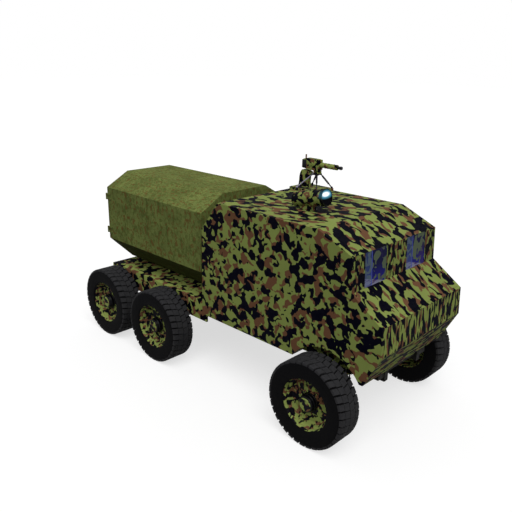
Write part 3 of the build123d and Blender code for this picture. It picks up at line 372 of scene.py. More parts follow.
def camouflage(name, size, stretch=(1, 1, 1), dust=0.02, below=None, darker=0.0, painted_light_gain=1.0):
    """Flat alkyd paint sprayed on steel in three colours.

    It gives the eye ragged patches without shine, faded a little in wide areas, with a
    fine orange peel and dust low down. Below a height the patches may be stretched
    another way.
    """
    tree = blank(name)
    vector = placed(tree, stretch)
    if below:
        height, other = below
        share = add(tree, "MapRange", axes(tree)[2], height, height + MM)
        vector = add(tree, "Mix", share, {6: placed(tree, other), 7: vector}, **COLOURS)
    base = dusted(tree, camouflage_colour(tree, vector, size, darker, painted_light_gain), dust)
    peel = add(tree, "TexNoise", placed(tree), PEEL)
    scuff = add(tree, "TexNoise", placed(tree), grain(45 * MM, 4.0, 0.65))
    surface(tree, base, (scuff, 0.35, 0.7, 0.62, 0.9), (peel, 0.25, FINE),
            {"Specular IOR Level": 0.03})


def brown_coat(name):
    """The camouflage's brown alone, brushed on the gun's small sight: dull, with light wear."""
    tree = blank(name)
    brown = bpy.context.scene.truck_paint.brown
    wear = add(tree, "TexNoise", placed(tree), grain(12 * MM, 3.0, 0.6))
    base = coated(tree, brown, (wear, 0.55, 0.75, 0.6, scaled(brown, 1.5)))
    surface(tree, base, 0.7, (wear, 0.15, 0.5 * MM))


def stand_paint(name, size, top):
    """The gun stand's plate is camouflaged; above it the legs and head are bare dark steel.

    What stands behind the pintle and to its right is painted paler, as painted light on the legs
    there.
    """
    tree = blank(name)
    x, y, z = axes(tree)
    above = add(tree, "MapRange", z, top + 0.4 * MM, top + 0.8 * MM)
    plate = camouflage_colour(tree, placed(tree), size)
    scratch = add(tree, "TexNoise", placed(tree, (1, 1, 6)), grain(12 * MM, 3.0, 0.6))
    gun_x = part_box("gun_stand")[0].x + PINTLE_X
    gun_y = middle("roof_gun").y
    rear = add(tree, "MapRange", x, gun_x - 0.09, gun_x - 0.03, 1.0, 0.0)
    right = add(tree, "MapRange", y, gun_y - 0.02, gun_y, 1.0, 0.0)
    painted_light_share = add(tree, "Math", rear, right, operation="MULTIPLY")
    # The legs behind the pintle and to its right get a pale grey as painted light.
    steel = coated(tree, "#1a191f", (painted_light_share, 0.0, 1.0, 1.0, "#a59eb6"),
                   (scratch, 0.45, 0.7, 0.5, "#4b4856"))
    surface(tree, coated(tree, plate, (above, 0.0, 1.0, 1.0, steel)),
            (above, 0.0, 1.0, 0.8, 0.42), (scratch, 0.1, 0.5 * MM),
            {"Metallic": add(tree, "MapRange", above, 0.0, 1.0, 0.0, 0.2),
             "Specular IOR Level": 0.1})


def canvas_paint(name):
    """Sheet steel under a heavy woven cover coat, brushed olive.

    It gives the eye a dull, cloth-like face with brown flecks and long soft stains, and painted
    shade on the slopes that face down. The threads, about 2 mm apart, are drawn 9 mm apart.
    """
    thread = 698.0     # radians a metre
    paint = bpy.context.scene.truck_paint
    tree = blank(name)
    x, y, z = axes(tree)
    rough = add(tree, "TexNoise", placed(tree), grain(22 * MM, 3.0, 0.7))
    stain = add(tree, "TexNoise", placed(tree, (1.6, 1.6, 1)), grain(0.30, 5.0, 0.7, 0.4))
    streak = (1.3, 0.8, 1.8)
    fleck = add(tree, "TexNoise", placed(tree, streak), grain(44 * MM, 4.0, 0.6, 0.5))
    mottle = add(tree, "TexNoise", placed(tree, streak, (3, 1, 2)), grain(50 * MM, 4.0, 0.6, 0.5))
    base = coated(tree, scaled(paint.olive, 0.80),
                  (stain, 0.35, 0.65, 1.0, scaled(paint.olive, 1.25)),
                  (mottle, 0.48, 0.60, 0.6, "#4a5428"), (fleck, 0.55, 0.61, 0.7, paint.fleck),
                  (rough, 0.42, 0.70, 0.3, "#3b4220"),
                  # Below the slopes' top the olive turns near black: painted shade on the faces
                  # that look down.
                  (z, LOW_SLOPE_TOP, LOW_SLOPE_TOP - 6 * MM, 0.62, "#11140a"))
    weft = ridges(tree, x, thread)
    warp = ridges(tree, add(tree, "Math", y, z), thread)
    weave = add(tree, "Math", weft, warp, operation="MULTIPLY")
    surface(tree, base, (rough, 0.3, 0.7, 0.78, 0.94),
            (add(tree, "Math", weave, rough), 0.35, FINE), {"Specular IOR Level": 0.01})


def chassis_paint(name):
    """Black chassis enamel over forged and pressed steel: a soft satin with road dust."""
    tree = blank(name)
    cloud = add(tree, "TexNoise", placed(tree), grain(60 * MM, 4.0, 0.6))
    base = coated(tree, "#0f1011", (cloud, 0.4, 0.7, 1.0, "#1c1b17"))
    surface(tree, dusted(tree, base, 0.1), (cloud, 0.35, 0.65, 0.45, 0.75), (cloud, 0.2, MM),
            {"Specular IOR Level": 0.05})


def dark_steel(name, deep, bright, rough):
    """Phosphated steel: near black, with brighter rub marks and a dull metal shine."""
    tree = blank(name)
    rub = add(tree, "TexNoise", placed(tree, (4, 1, 1)), grain(14 * MM, 4.0, 0.6))
    base = coated(tree, deep, (rub, 0.48, 0.72, 1.0, bright))
    surface(tree, base, (rub, 0.3, 0.7, rough, rough + 0.2), (rub, 0.08, 0.5 * MM),
            {"Metallic": 0.75})


def gloss_enamel(name):
    """Black stove enamel on the hub caps: deep black that takes a bright highlight."""
    tree = blank(name)
    cloud = add(tree, "TexNoise", placed(tree), grain(25 * MM, 3.0))
    base = coated(tree, "#050507", (cloud, 0.0, 1.0, 1.0, "#0c0c10"))
    surface(tree, base, (cloud, 0.3, 0.7, 0.16, 0.26), (cloud, 0.03, 0.5 * MM),
            {"Specular IOR Level": 0.08})


def tyre_rubber(name, deep, pale, dust):
    """Carbon-black tyre rubber: a dull near-black with fine grain and a little dust."""
    tree = blank(name)
    cloud = add(tree, "TexNoise", placed(tree), grain(35 * MM, 4.0, 0.6))
    fine = add(tree, "TexNoise", placed(tree), grain(6 * MM))
    base = coated(tree, deep, (cloud, 0.3, 0.7, 1.0, pale))
    surface(tree, dusted(tree, base, dust), (cloud, 0.3, 0.7, 0.62, 0.82), (fine, 0.3, FINE),
            {"Specular IOR Level": 0.03})


def screen_glass(name, panes):
    """Thick laminated glass with a blue tint, with dark and green patches painted on as
    reflections.

    It gives the eye a dark blue pane with a paler reveal at its foot and at its edge on the
    truck's right, painted on as painted light.
    """
    low, high = panes
    tree = blank(name)
    y, z = axes(tree)[1:]
    side = add(tree, "Math", y, operation="SIGN")
    across = add(tree, "Math", side, PANE_HALF - high.y, y, operation="MULTIPLY_ADD")
    across = add(tree, "Math", across, PANE_HALF)
    height = add(tree, "MapRange", z, low.z, high.z)
    patch = add(tree, "TexNoise", add(tree, "TexCoord", out="Object"),
                grain(0.105, 1.6, 0.35, 0.5))
    cast = add(tree, "TexNoise", placed(tree, (1, 1, 2)), grain(0.12))
    ripple = add(tree, "TexNoise", placed(tree, (1, 3, 0.5)), grain(50 * MM))
    ledge = add(tree, "Math", across, 0.6, height, operation="MULTIPLY_ADD")
    line = add(tree, "Math", across, REVEAL_W + 5 * MM, 7 * MM, operation="COMPARE")
    blue = coated(tree, "#14147a", (height, 0.2, 0.6, 1.0, "#0a0a3c"))
    reveal = coated(tree, "#9092a8", (ripple, 0.5, 0.6, 1.0, "#57406c"))
    # The green patches and their tints are painted reflections, the blue that darkens upwards is
    # painted shade, and the pale reveal strip with its edge line is painted light.
    base = coated(tree, "#55624c", (patch, 0.49, 0.50, 1.0, blue),
                  (cast, 0.56, 0.62, 0.5, "#35205e"), (ledge, 0.32, 0.30, 0.85, reveal),
                  (across, REVEAL_W + 5 * MM, REVEAL_W, 0.4, "#4a6096"),
                  (line, 0.0, 1.0, 1.0, "#4a55b4"))
    surface(tree, base, 0.08, sockets={"IOR": 1.45, "Specular IOR Level": 0.02})


def glow_reach(tree, centre):
    """Distance from the lit spot high on the searchlight's glass, flattened upright."""
    away = add(tree, "VectorMath", add(tree, "TexCoord", out="Object"), centre + HOT_SPOT,
               operation="SUBTRACT")
    flat = add(tree, "VectorMath", away, (1.5, 0.62, 1.6), operation="MULTIPLY")
    return add(tree, "VectorMath", flat, out="Value", operation="LENGTH")


def lamp_glass(name, centre):
    """Lit searchlight glass: a white hot spot high up, cyan round it, near black below."""
    tree = blank(name)
    reach = glow_reach(tree, centre)
    ripple = add(tree, "TexNoise", placed(tree), grain(20 * MM))
    glow = coated(tree, "#ffffff", (reach, 0.030, 0.064, 1.0, "#4f96b0"),
                  (reach, 0.046, 0.108, 1.0, "#000000"))
    surface(tree, "#04050a", 0.12, (ripple, 0.1, MM),
            {"Specular IOR Level": 0.01, "Emission Color": glow, "Emission Strength": 1.3})


def lamp_paint(name, size, centre):
    """The searchlight's camouflage, black round its glass, with a faint cyan glow painted on as
    light spilling from the glass.
    """
    tree = blank(name)
    reach = add(tree, "VectorMath", add(tree, "TexCoord", out="Object"), centre, out="Value",
                operation="DISTANCE")
    painted = camouflage_colour(tree, placed(tree), size)
    base = coated(tree, "#060608", (reach, *LAMP_RING, 1.0, painted))
    # A faint cyan glow on the paint: painted light spilling from the glass.
    spill = coated(tree, "#4a93ae", (glow_reach(tree, centre), 0.06, 0.11, 1.0, "#000000"))
    peel = add(tree, "TexNoise", placed(tree), PEEL)
    surface(tree, base, 0.7, (peel, 0.2, FINE),
            {"Specular IOR Level": 0.05, "Emission Color": spill, "Emission Strength": 0.25})


def red_lens(name):
    """Moulded red acrylic: clear-toned and glossy, with fine upright prisms 8 mm apart."""
    tree = blank(name)
    prism = ridges(tree, axes(tree)[1], 780.0)
    base = coated(tree, "#5c0a0a", (prism, -1, 1, 1.0, "#9c1612"))
    surface(tree, base, 0.18, (prism, 0.5, 1.5 * MM), {"IOR": 1.49})


def grained_plastic(name):
    """Moulded ABS with a leather-like grain: even dark grey, dull, with pits 4 mm apart."""
    tree = blank(name)
    pits = add(tree, "TexVoronoi", placed(tree), {"Scale": 260.0})
    cloud = add(tree, "TexNoise", placed(tree), grain(50 * MM, 3.0))
    base = coated(tree, "#1a1b1d", (cloud, 0.3, 0.7, 1.0, "#26282a"))
    surface(tree, base, (cloud, 0.3, 0.7, 0.5, 0.68), (pits, 0.25, FINE), {"IOR": 1.46})


def seat_cloth(name):
    """Heavy woven polyester: a plain weave whose threads catch a soft sheen.

    The threads, about 1 mm apart, are drawn 4 mm apart so that they show.
    """
    thread = 1570.0    # radians a metre
    cloth = bpy.context.scene.truck_seat.cloth
    tree = blank(name)
    x, y, z = axes(tree)
    warp = ridges(tree, add(tree, "Math", x, z), thread)
    weave = add(tree, "Math", warp, ridges(tree, y, thread), operation="MULTIPLY")
    wear = add(tree, "TexNoise", placed(tree), grain(90 * MM, 4.0, 0.6))
    base = coated(tree, scaled(cloth, 0.62), (weave, -1, 1, 1.0, cloth),
                  (wear, 0.5, 0.8, 0.4, "#6b6c52"))
    surface(tree, base, 0.88, (weave, 0.5, MM), {"Sheen Weight": 0.3, "Sheen Roughness": 0.5})


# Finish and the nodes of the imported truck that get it.
CAD_FINISHES = {
    "Camouflage on the cab's sides": ("cab_side_left", "cab_side_right", "cab_door",
                                      "cab_rear_wall", "cab_floor"),
    "Camouflage on the windscreen wall": ("windscreen_frame",),
    "Camouflage on the roof": ("cab_roof",),
    "Camouflage on the bonnet": ("cab_bonnet",),
    "Camouflage on the nose": ("cab_nose",),
    "Camouflage on the deck": ("deck", "load_floor"),
    "Camouflage on small castings": ("front_axle", "middle_axle", "rear_axle",
                                     "knuckle_left", "knuckle_right"),
    "Camouflage on the wheels": [f"rim_{wheel}" for wheel in WHEELS],
    "Camouflage on the gun": ("roof_gun", "gun_chute"),
    "Gun stand paint and steel": ("gun_stand",),
    "Searchlight paint": ("searchlight",),
    "Lit searchlight glass": ("searchlight_lens",),
    "Laminated blue glass": ("windscreen_panes",),
    "Olive cover coat": ("load_body", "load_door_left", "load_door_right"),
    "Chassis enamel": ("frame", "powertrain", "leaf_springs"),
    "Phosphated steel": ("track_rod",),
    "Red acrylic": ("tail_lamps",),
    "Grained plastic": ("dashboard", "steering_wheel"),
}


class TRUCK_OT_paint(bpy.types.Operator):
    """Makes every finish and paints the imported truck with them"""
    bl_idname = "truck.paint"
    bl_label = "Paint the truck"

    def execute(self, context):
        wide = context.scene.truck_paint.blob
        small = context.scene.truck_paint.small_blob
        lens = middle("searchlight_lens")
        plate_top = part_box("gun_chute")[0].z
        camouflage("Camouflage on the cab's sides", wide)
        camouflage("Camouflage on the windscreen wall", wide, (1, 0.6, 1.1), darker=0.01)
        camouflage("Camouflage on the roof", wide * 1.2, (1.35, 1, 1), darker=0.012)
        camouflage("Camouflage on the bonnet", wide * 1.1, (1.8, 0.9, 1), darker=0.012)
        # The nose, deck, castings, wheels and gun are painted brighter as painted light where
        # they lie in shade.
        camouflage("Camouflage on the nose", wide, (1, 0.5, 1.8), darker=0.025, painted_light_gain=1.12,
                   below=(NOSE_EDGE_Z, (0.5, 1.7, 0.5)))
        camouflage("Camouflage on the deck", wide * 1.05, darker=-0.01, painted_light_gain=1.3)
        camouflage("Camouflage on small castings", small * 1.6, dust=0.06, painted_light_gain=1.5)
        wheel_paint("Camouflage on the wheels", small * 1.7)
        camouflage("Camouflage on the gun", small * 1.7, darker=-0.02, painted_light_gain=1.1)
        brown_coat("Brown camouflage coat")
        stand_paint("Gun stand paint and steel", small * 2.2, plate_top)
        canvas_paint("Olive cover coat")
        chassis_paint("Chassis enamel")
        dark_steel("Phosphated steel", "#08080c", "#1b1b20", 0.36)
        dark_steel("Zinc-grey fasteners", "#27282b", "#55565a", 0.4)
        gloss_enamel("Black stove enamel")
        tyre_rubber("Sidewall rubber", "#09090a", "#0e0e10", 0.01)
        tyre_rubber("Tread rubber", "#2b2b2d", "#363638", 0.04)
        screen_glass("Laminated blue glass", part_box("windscreen_panes"))
        lamp_glass("Lit searchlight glass", lens)
        lamp_paint("Searchlight paint", small * 1.8, lens)
        red_lens("Red acrylic")
        grained_plastic("Grained plastic")
        seat_cloth("Woven seat cloth")
        for finish, nodes in CAD_FINISHES.items():
            for node in nodes:
                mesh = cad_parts[node].data
                mesh.materials.clear()
                mesh.materials.append(bpy.data.materials[finish])
        return {"FINISHED"}


# ---- wheels -------------------------------------------------------------------------
# Carcass from the bead on the rim to the crown, on one side: distance from the wheel's
# middle plane and radius, in millimetres.
CARCASS = ((150, 360.4), (150, 387), (165.6, 387), (165.6, 356), (169, 352), (174, 353),
           (179, 362), (182, 384), (184, 410), (187, 446),
           (187.4, 470), (186.6, 505), (187.4, 530), (184, 553), (174, 565), (150, 569))
BLOCK_ROOT = 0.014            # how deep a block stands in the carcass
SHOULDER_Y = 0.17             # blocks that reach past this are rounded at the shoulder
RIBS = 0.52                   # share of the half width that the inner ring ends at
# Share of the pitch that a block fills, in the outer and the inner rings.
SHOULDER_FILL = 0.74
RIB_FILL = 0.86
# Bevel of the blocks' edges in those rings: width and steps.
SHOULDER_EDGE = (0.016, 2)
RIB_EDGE = (0.0025, 1)


def tread_ring(bm, across, length, radius, phase):
    """Ring of tread blocks between two places across the tyre, leaning with the slant."""
    tread = bpy.context.scene.truck_tread
    tall = tread.depth + BLOCK_ROOT
    low, high = across
    reach = length / 2 + tread.slant * (high - low) / 2
    crown = math.sqrt(radius ** 2 - reach ** 2)
    place = Matrix.Translation((0, (low + high) / 2, -crown + tall / 2))
    lean = Matrix()
    lean[0][1] = math.copysign(tread.slant, low + high)
    shape = Matrix.Diagonal((length, high - low, tall, 1))
    turn = Matrix.Rotation(phase, 4, "Y")
    cube = bmesh.ops.create_cube(bm, size=1.0, matrix=turn @ place @ lean @ shape)["verts"]
    foot = turn @ Vector((0, 0, -1))
    top = [v for v in cube if v.co.dot(foot) > crown - tall / 2]
    edges = [e for e in {e for v in top for e in v.link_edges} if all(v in top for v in e.verts)]
    bevel = RIB_EDGE
    outer = max(abs(low), abs(high))
    if outer > SHOULDER_Y:
        edges = [e for e in edges if all(abs(abs(v.co.y) - outer) < 1e-5 for v in e.verts)]
        bevel = SHOULDER_EDGE
    made = {v for f in rounded(bm, edges, *bevel) for v in f.verts}
    made |= {v for v in cube if v.is_valid}
    faces = {f for v in made for f in v.link_faces}
    for face in faces:
        face.material_index = 1
    geom = list(made) + list({e for f in faces for e in f.edges}) + list(faces)
    count = tread.blocks
    bmesh.ops.spin(bm, geom=geom, cent=(0, 0, 0), axis=(0, 1, 0), steps=count - 1,
                   angle=2 * math.pi * (count - 1) / count, use_duplicate=True)


def tyre_mesh(radius, half):
    """Tyre about the Y axis: carcass and four rings of blocks."""
    tread = bpy.context.scene.truck_tread
    bm = bmesh.new()
    spun(bm, CARCASS + tuple((-y, r) for y, r in reversed(CARCASS)), 108)
    pitch = 2 * math.pi * radius / tread.blocks
    inner = half * RIBS
    gap = tread.groove / 2
    for side, lag in ((1, 0.5), (-1, 0.25)):
        shoulder = sorted((side * (inner + gap), side * half))
        rib = sorted((side * gap, side * (inner - gap)))
        tread_ring(bm, shoulder, pitch * SHOULDER_FILL, radius, 0.0)
        tread_ring(bm, rib, pitch * RIB_FILL, radius, lag * 2 * math.pi / tread.blocks)
    return to_mesh("tyre", bm, 40)


class TRUCK_OT_tyres(bpy.types.Operator):
    """Builds the tyre with its tread and fits one on each wheel"""
    bl_idname = "truck.tyres"
    bl_label = "Fit the tyres"

    def execute(self, context):
        low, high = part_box("tyre_front_left")
        source = tyre_mesh((high.z - low.z) / 2, (high.y - low.y) / 2 - 0.5 * MM)
        for wheel in WHEELS:
            mesh = source.copy()
            mesh.transform(Matrix.Translation(middle(f"tyre_{wheel}")))
            made = piece(f"tread_{wheel}", mesh, f"wheel_{wheel}", "Sidewall rubber",
                         "Tread rubber", slot="tyre_rubber")
            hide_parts(f"tyre_{wheel}")
        bpy.data.meshes.remove(source)
        return {"FINISHED"}


# Enamelled sleeve over the hub cap: distance out from the wheel's middle plane and
# radius, in millimetres, round the section.
HUB_SLEEVE = ((45, 92.2), (45, 123), (52, 126), (60, 123), (64, 118), (92, 118), (96, 121),
              (104, 121), (108, 117), (136, 112), (147, 106), (154, 98), (156, 92.2))
# Dark sheet behind the holes of the disc, so that they read dark as painted shade, the same way.
DRUM_COVER = ((6, 168), (6, 242), (12, 242), (12, 168))
# Bolts of the disc: count, radius of their circle, place out and size, in millimetres.
HUB_BOLTS = (10, 142, 29.5, 8.5)
# Valve's stem and cap from the wheel's middle: start, end and radius, in metres.
VALVE = (((0.27, 0.028, 0.02), (0.272, 0.072, 0.021), 0.004),
         ((0.272, 0.066, 0.021), (0.2725, 0.08, 0.0215), 0.0055))


class TRUCK_OT_wheel_trim(bpy.types.Operator):
    """Adds the hub caps' black sleeves, the hub bolts and the valves"""
    bl_idname = "truck.wheel_trim"
    bl_label = "Fit the wheel trim"

    def execute(self, context):
        count, circle, out, size = HUB_BOLTS
        for wheel in WHEELS:
            side = 1 if wheel.endswith("left") else -1
            place = Matrix.Translation(middle(f"tyre_{wheel}")) @ Matrix.Diagonal((1, side, 1, 1))
            bm = bmesh.new()
            spun(bm, HUB_SLEEVE, 72)
            bmesh.ops.transform(bm, matrix=place, verts=bm.verts)
            piece(f"hub_sleeve_{wheel}", to_mesh("sleeve", bm), f"wheel_{wheel}",
                  "Black stove enamel", slot="black_plastic")
            bm = bmesh.new()
            # The dark sheet behind the disc's holes stands for the shade seen through them.
            spun(bm, DRUM_COVER, 72)
            for i in range(count):
                turn = 2 * math.pi * i / count
                foot = (circle * MM * math.cos(turn), out * MM, circle * MM * math.sin(turn))
                bolt(bm, foot, (0, 1, 0), size * MM)
            for start, end, radius in VALVE:
                rod(bm, start, end, radius, 10)
            bmesh.ops.transform(bm, matrix=place, verts=bm.verts)
            steel_piece(f"hub_bolts_{wheel}", bm, f"wheel_{wheel}")
        return {"FINISHED"}


# ---- roof fittings ------------------------------------------------------------------
# Gun, in metres: places are forward from its rear end, and down from its receiver's top.
SIGHT_H = 0.057               # how far the sight stands above that top
BORE_DROP = 0.073
REAR_BLOCK = (-0.0005, 0.088, 0.146, 0.017)   # from, to, foot and top
SIDE_COVER = (0.10, 0.27, 0.105, 0.035)       # the same
TOP_COVER = (0.07, 0.29)                      # from, to
SIGHT = (0.023, 0.042, 0.008)                 # from, to, half width
GRIP = (0.012, 0.03, 0.148, 0.02, 0.011)      # place, sideways, foot, top, radius
COVER_BOLTS = ((0.11, 0.095), (0.26, 0.095), (0.11, 0.045), (0.26, 0.045))
HANDLE = (0.21, 0.07)
# Flash hider: distance along the barrel from the jacket's end and radius, millimetres.
MUZZLE = ((-4, 17), (-4, 23), (2, 24), (8, 22), (36, 22), (40, 25), (78, 27), (83, 25), (83, 17))
MUZZLE_L = 0.084


class TRUCK_OT_gun_trim(bpy.types.Operator):
    """Adds the gun's rear block, grips, muzzle, sight, covers and cocking handle"""
    bl_idname = "truck.gun_trim"
    bl_label = "Fit the gun's details"

    def execute(self, context):
        low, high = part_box("roof_gun")
        rear = low.x
        y = (low.y + high.y) / 2
        top = high.z - SIGHT_H
        bore = top - BORE_DROP
        bm = bmesh.new()
        x0, x1, foot, head = REAR_BLOCK
        span_box(bm, (rear + x0, low.y - 0.003, top - foot),
                 (rear + x1, high.y + 0.003, top - head), 0.008)
        x, aside, foot, head, radius = GRIP
        for grip in (y + aside, y - aside):
            rod(bm, (rear + x, grip, top - foot), (rear + x, grip, top - head), radius)
        before = set(bm.verts)
        spun(bm, MUZZLE, 24)
        turned = [v for v in bm.verts if v not in before]
        forward = Matrix.Rotation(math.radians(-90), 4, "Z")
        place = Matrix.Translation((high.x - MUZZLE_L, y, bore)) @ forward
        bmesh.ops.transform(bm, matrix=place, verts=turned)
        rod(bm, (high.x + 0.0002, y, bore), (high.x + 0.0012, y, bore), 0.02)
        steel_piece("gun_rear_and_muzzle", bm, "roof_gun")

        bm = bmesh.new()
        x0, x1, half = SIGHT
        span_box(bm, (rear + x0, y - half, top - 0.002), (rear + x1, y + half, high.z), 0.001, 1)
        piece("gun_sight", to_mesh("sight", bm), "roof_gun", "Brown camouflage coat",
              slot="camouflage_paint")

        bm = bmesh.new()
        x0, x1 = TOP_COVER
        span_box(bm, (rear + x0, low.y + 0.008, top - 0.001),
                 (rear + x1, high.y - 0.008, top + 0.007), 0.003)
        x0, x1, foot, head = SIDE_COVER
        for y0, y1 in ((low.y - 0.006, low.y + 0.001), (high.y - 0.001, high.y + 0.006)):
            span_box(bm, (rear + x0, y0, top - foot), (rear + x1, y1, top - head), 0.003)
        x, z = rear + HANDLE[0], top - HANDLE[1]
        rod(bm, (x, low.y - 0.034, z), (x, low.y, z), 0.006)
        rod(bm, (x, low.y - 0.04, z), (x, low.y - 0.028, z), 0.011, 16, 0.009)
        for along, down in COVER_BOLTS:
            for face, way in ((low.y - 0.005, -1), (high.y + 0.005, 1)):
                bolt(bm, (rear + along, face, top - down), (0, way, 0), 0.0045)
        piece("gun_covers", to_mesh("covers", bm), "roof_gun", "Camouflage on the gun",
              slot="camouflage_paint")
        return {"FINISHED"}


ROOF_BOLT = 0.009
LAMP_CLAMPS = (0.17, 0.30)    # rear edges, forward from the searchlight's rear end
CLAMP_W = 0.06                # along the truck
CLAMP_HALF = 0.092            # across it


class TRUCK_OT_roof_trim(bpy.types.Operator):
    """Adds bolts on the gun stand's plate and the searchlight's clamps"""
    bl_idname = "truck.roof_trim"
    bl_label = "Fit the roof trim"

    def execute(self, context):
        low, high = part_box("gun_stand")
        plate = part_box("gun_chute")[0].z
        bm = bmesh.new()
        for x in (low.x + 0.025, (low.x + high.x) / 2, high.x - 0.025):
            for y in (low.y + 0.022, high.y - 0.022):
                bolt(bm, (x, y, plate), (0, 0, 1), ROOF_BOLT)
        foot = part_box("searchlight")[0]
        lamp_y = middle("searchlight").y
        clamps = [foot.x + clamp for clamp in LAMP_CLAMPS]
        for x in clamps:
            for y in (lamp_y - 0.075, lamp_y + 0.075):
                bolt(bm, (x + CLAMP_W / 2, y, foot.z + 0.006), (0, 0, 1), ROOF_BOLT)
        for x in clamps:
            span_box(bm, (x, lamp_y - CLAMP_HALF, foot.z),
                     (x + CLAMP_W, lamp_y + CLAMP_HALF, foot.z + 0.007), 0.002, 1)
        steel_piece("roof_bolts", bm, "chassis")
        return {"FINISHED"}


# ---- rear and underside -------------------------------------------------------------
LATCH_Y = -0.057              # closing bar on the right-hand rear door
GUIDES = (0.30, 0.26)         # lowest above the door's foot, highest below its top
GUIDE_HALF = (0.034, 0.02)    # sideways, upright
LEVER_Z = 1.9425
LEVER_L = 0.20                # from the bar to the lever's grip
GRIP_L = 0.08
LAMP_W = 0.16                 # width of a tail lamp
HITCH_FACE = 0.0195           # the hitch's face, back from the lamps' front
HITCH_BOLTS = [(y, z) for y in (-0.105, 0.105) for z in (0.80, 0.865, 0.93)]


class TRUCK_OT_rear_latch(bpy.types.Operator):
    """Adds the rear doors' latch: guides for the closing bar, and its lever"""
    bl_idname = "truck.rear_latch"
    bl_label = "Fit the rear doors' latch"

    def execute(self, context):
        low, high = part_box("load_door_right")
        half_y, half_z = GUIDE_HALF
        bm = bmesh.new()
        for z in (low.z + GUIDES[0], (low.z + high.z) / 2, high.z - GUIDES[1]):
            span_box(bm, (low.x - 0.001, LATCH_Y - half_y, z - half_z),
                     (low.x + 0.016, LATCH_Y + half_y, z + half_z), 0.003)
            for y in (LATCH_Y + 0.027, LATCH_Y - 0.027):
                bolt(bm, (low.x + 0.001, y, z), (-1, 0, 0), 0.005)
        grip = LATCH_Y - LEVER_L
        span_box(bm, (low.x - 0.006, grip, LEVER_Z - 0.0125),
                 (low.x + 0.006, LATCH_Y + 0.012, LEVER_Z + 0.0125), 0.004)
        rod(bm, (low.x - 0.001, grip, LEVER_Z), (low.x - 0.001, grip - GRIP_L, LEVER_Z), 0.011)
        steel_piece("rear_door_latch", bm, "load_door_right")
        return {"FINISHED"}


class TRUCK_OT_lamp_frames(bpy.types.Operator):
    """Adds the tail lamps' frames and the hitch bolts"""
    bl_idname = "truck.lamp_frames"
    bl_label = "Fit the lamp frames and hitch bolts"

    def execute(self, context):
        low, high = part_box("tail_lamps")
        outer = high.y
        inner = outer - LAMP_W
        bm = bmesh.new()
        for side in (1, -1):
            for y0, y1, z0, z1 in ((inner - 0.008, inner + 0.006, low.z - 0.008, high.z + 0.008),
                                   (outer - 0.006, outer + 0.008, low.z - 0.008, high.z + 0.008),
                                   (inner, outer, low.z - 0.008, low.z + 0.006),
                                   (inner, outer, high.z - 0.006, high.z + 0.008)):
                span_box(bm, (low.x - 0.003, side * y0, z0), (high.x, side * y1, z1), 0.002, 1)
        for y, z in HITCH_BOLTS:
            bolt(bm, (high.x - HITCH_FACE, y, z), (-1, 0, 0), 0.011)
        steel_piece("lamp_frames_and_hitch_bolts", bm, "chassis")
        return {"FINISHED"}


# Spring clamps: axle, lowest and highest end of the bolts, in metres.
CLAMPS = (("front", 0.655, 0.862), ("middle", 0.655, 0.812), ("rear", 0.655, 0.812))
CLAMP_X = 0.075               # bolts before and behind the axle
CLAMP_Y = (0.493, 0.593)      # bolts on both sides of a spring
PLATE_Y = (0.475, 0.61)       # plate under a spring, from and to
BEND_Y = (0.484, 0.602)       # bend over a spring, from and to


class TRUCK_OT_spring_clamps(bpy.types.Operator):
    """Adds the spring clamps at each axle"""
    bl_idname = "truck.spring_clamps"
    bl_label = "Fit the spring clamps"

    def execute(self, context):
        bm = bmesh.new()
        for axle, low, high in CLAMPS:
            x = middle(f"tyre_{axle}_left").x
            ends = (x - CLAMP_X, x + CLAMP_X)
            for side in (1, -1):
                for end in ends:
                    for y in CLAMP_Y:
                        rod(bm, (end, side * y, low), (end, side * y, high), 0.009, 12)
                        bolt(bm, (end, side * y, low + 0.006), (0, 0, -1), 0.013)
                span_box(bm, (ends[0] - 0.02, side * PLATE_Y[0], low + 0.002),
                         (ends[1] + 0.02, side * PLATE_Y[1], low + 0.012), 0.003, 1)
                for end in ends:
                    rod(bm, (end, side * BEND_Y[0], high), (end, side * BEND_Y[1], high), 0.009,
                        12)
        steel_piece("spring_clamps", bm, "chassis")
        return {"FINISHED"}


CASE_FACE = 0.2251            # a portal case's inner face from the wheel's middle plane
CASE_CIRCLE = 0.086           # radius of its bolts' circle
CASE_BOLTS = range(200, 341, 28)      # their places round the lower half, in degrees


class TRUCK_OT_case_bolts(bpy.types.Operator):
    """Adds the cover bolts on the six portal cases"""
    bl_idname = "truck.case_bolts"
    bl_label = "Fit the portal cases' bolts"

    def execute(self, context):
        for side, name in ((1, "left"), (-1, "right")):
            for axle, body in (("middle", "chassis"), ("rear", "chassis"),
                               ("front", f"knuckle_{name}")):
                hub = middle(f"tyre_{axle}_{name}")
                bm = bmesh.new()
                for degrees in CASE_BOLTS:
                    turn = math.radians(degrees)
                    foot = (hub.x + CASE_CIRCLE * math.cos(turn), hub.y - side * CASE_FACE,
                            hub.z + CASE_CIRCLE * math.sin(turn))
                    bolt(bm, foot, (0, -side, 0), 0.008)
                piece(f"case_bolts_{axle}_{name}", to_mesh("case", bm), body,
                      "Zinc-grey fasteners", slot="dark_steel")
        return {"FINISHED"}


# ---- cab ----------------------------------------------------------------------------
LOCK_Z = 1.485
HINGE_SCREWS = (1.235, 1.265, 2.235, 2.265)   # heights
DASH_D = 0.25                 # dashboard's face with the gauges, back from its front end
# Gauges: sideways, height and radius.
GAUGES = ((0.40, 1.86, 0.05), (0.56, 1.86, 0.05), (0.48, 1.80, 0.022), (0.20, 1.87, 0.03),
          (0.12, 1.87, 0.03))
SWITCHES = (0.32, 0.29, 0.26, 0.23, 0.20)     # sideways
SWITCH_Z = 1.79


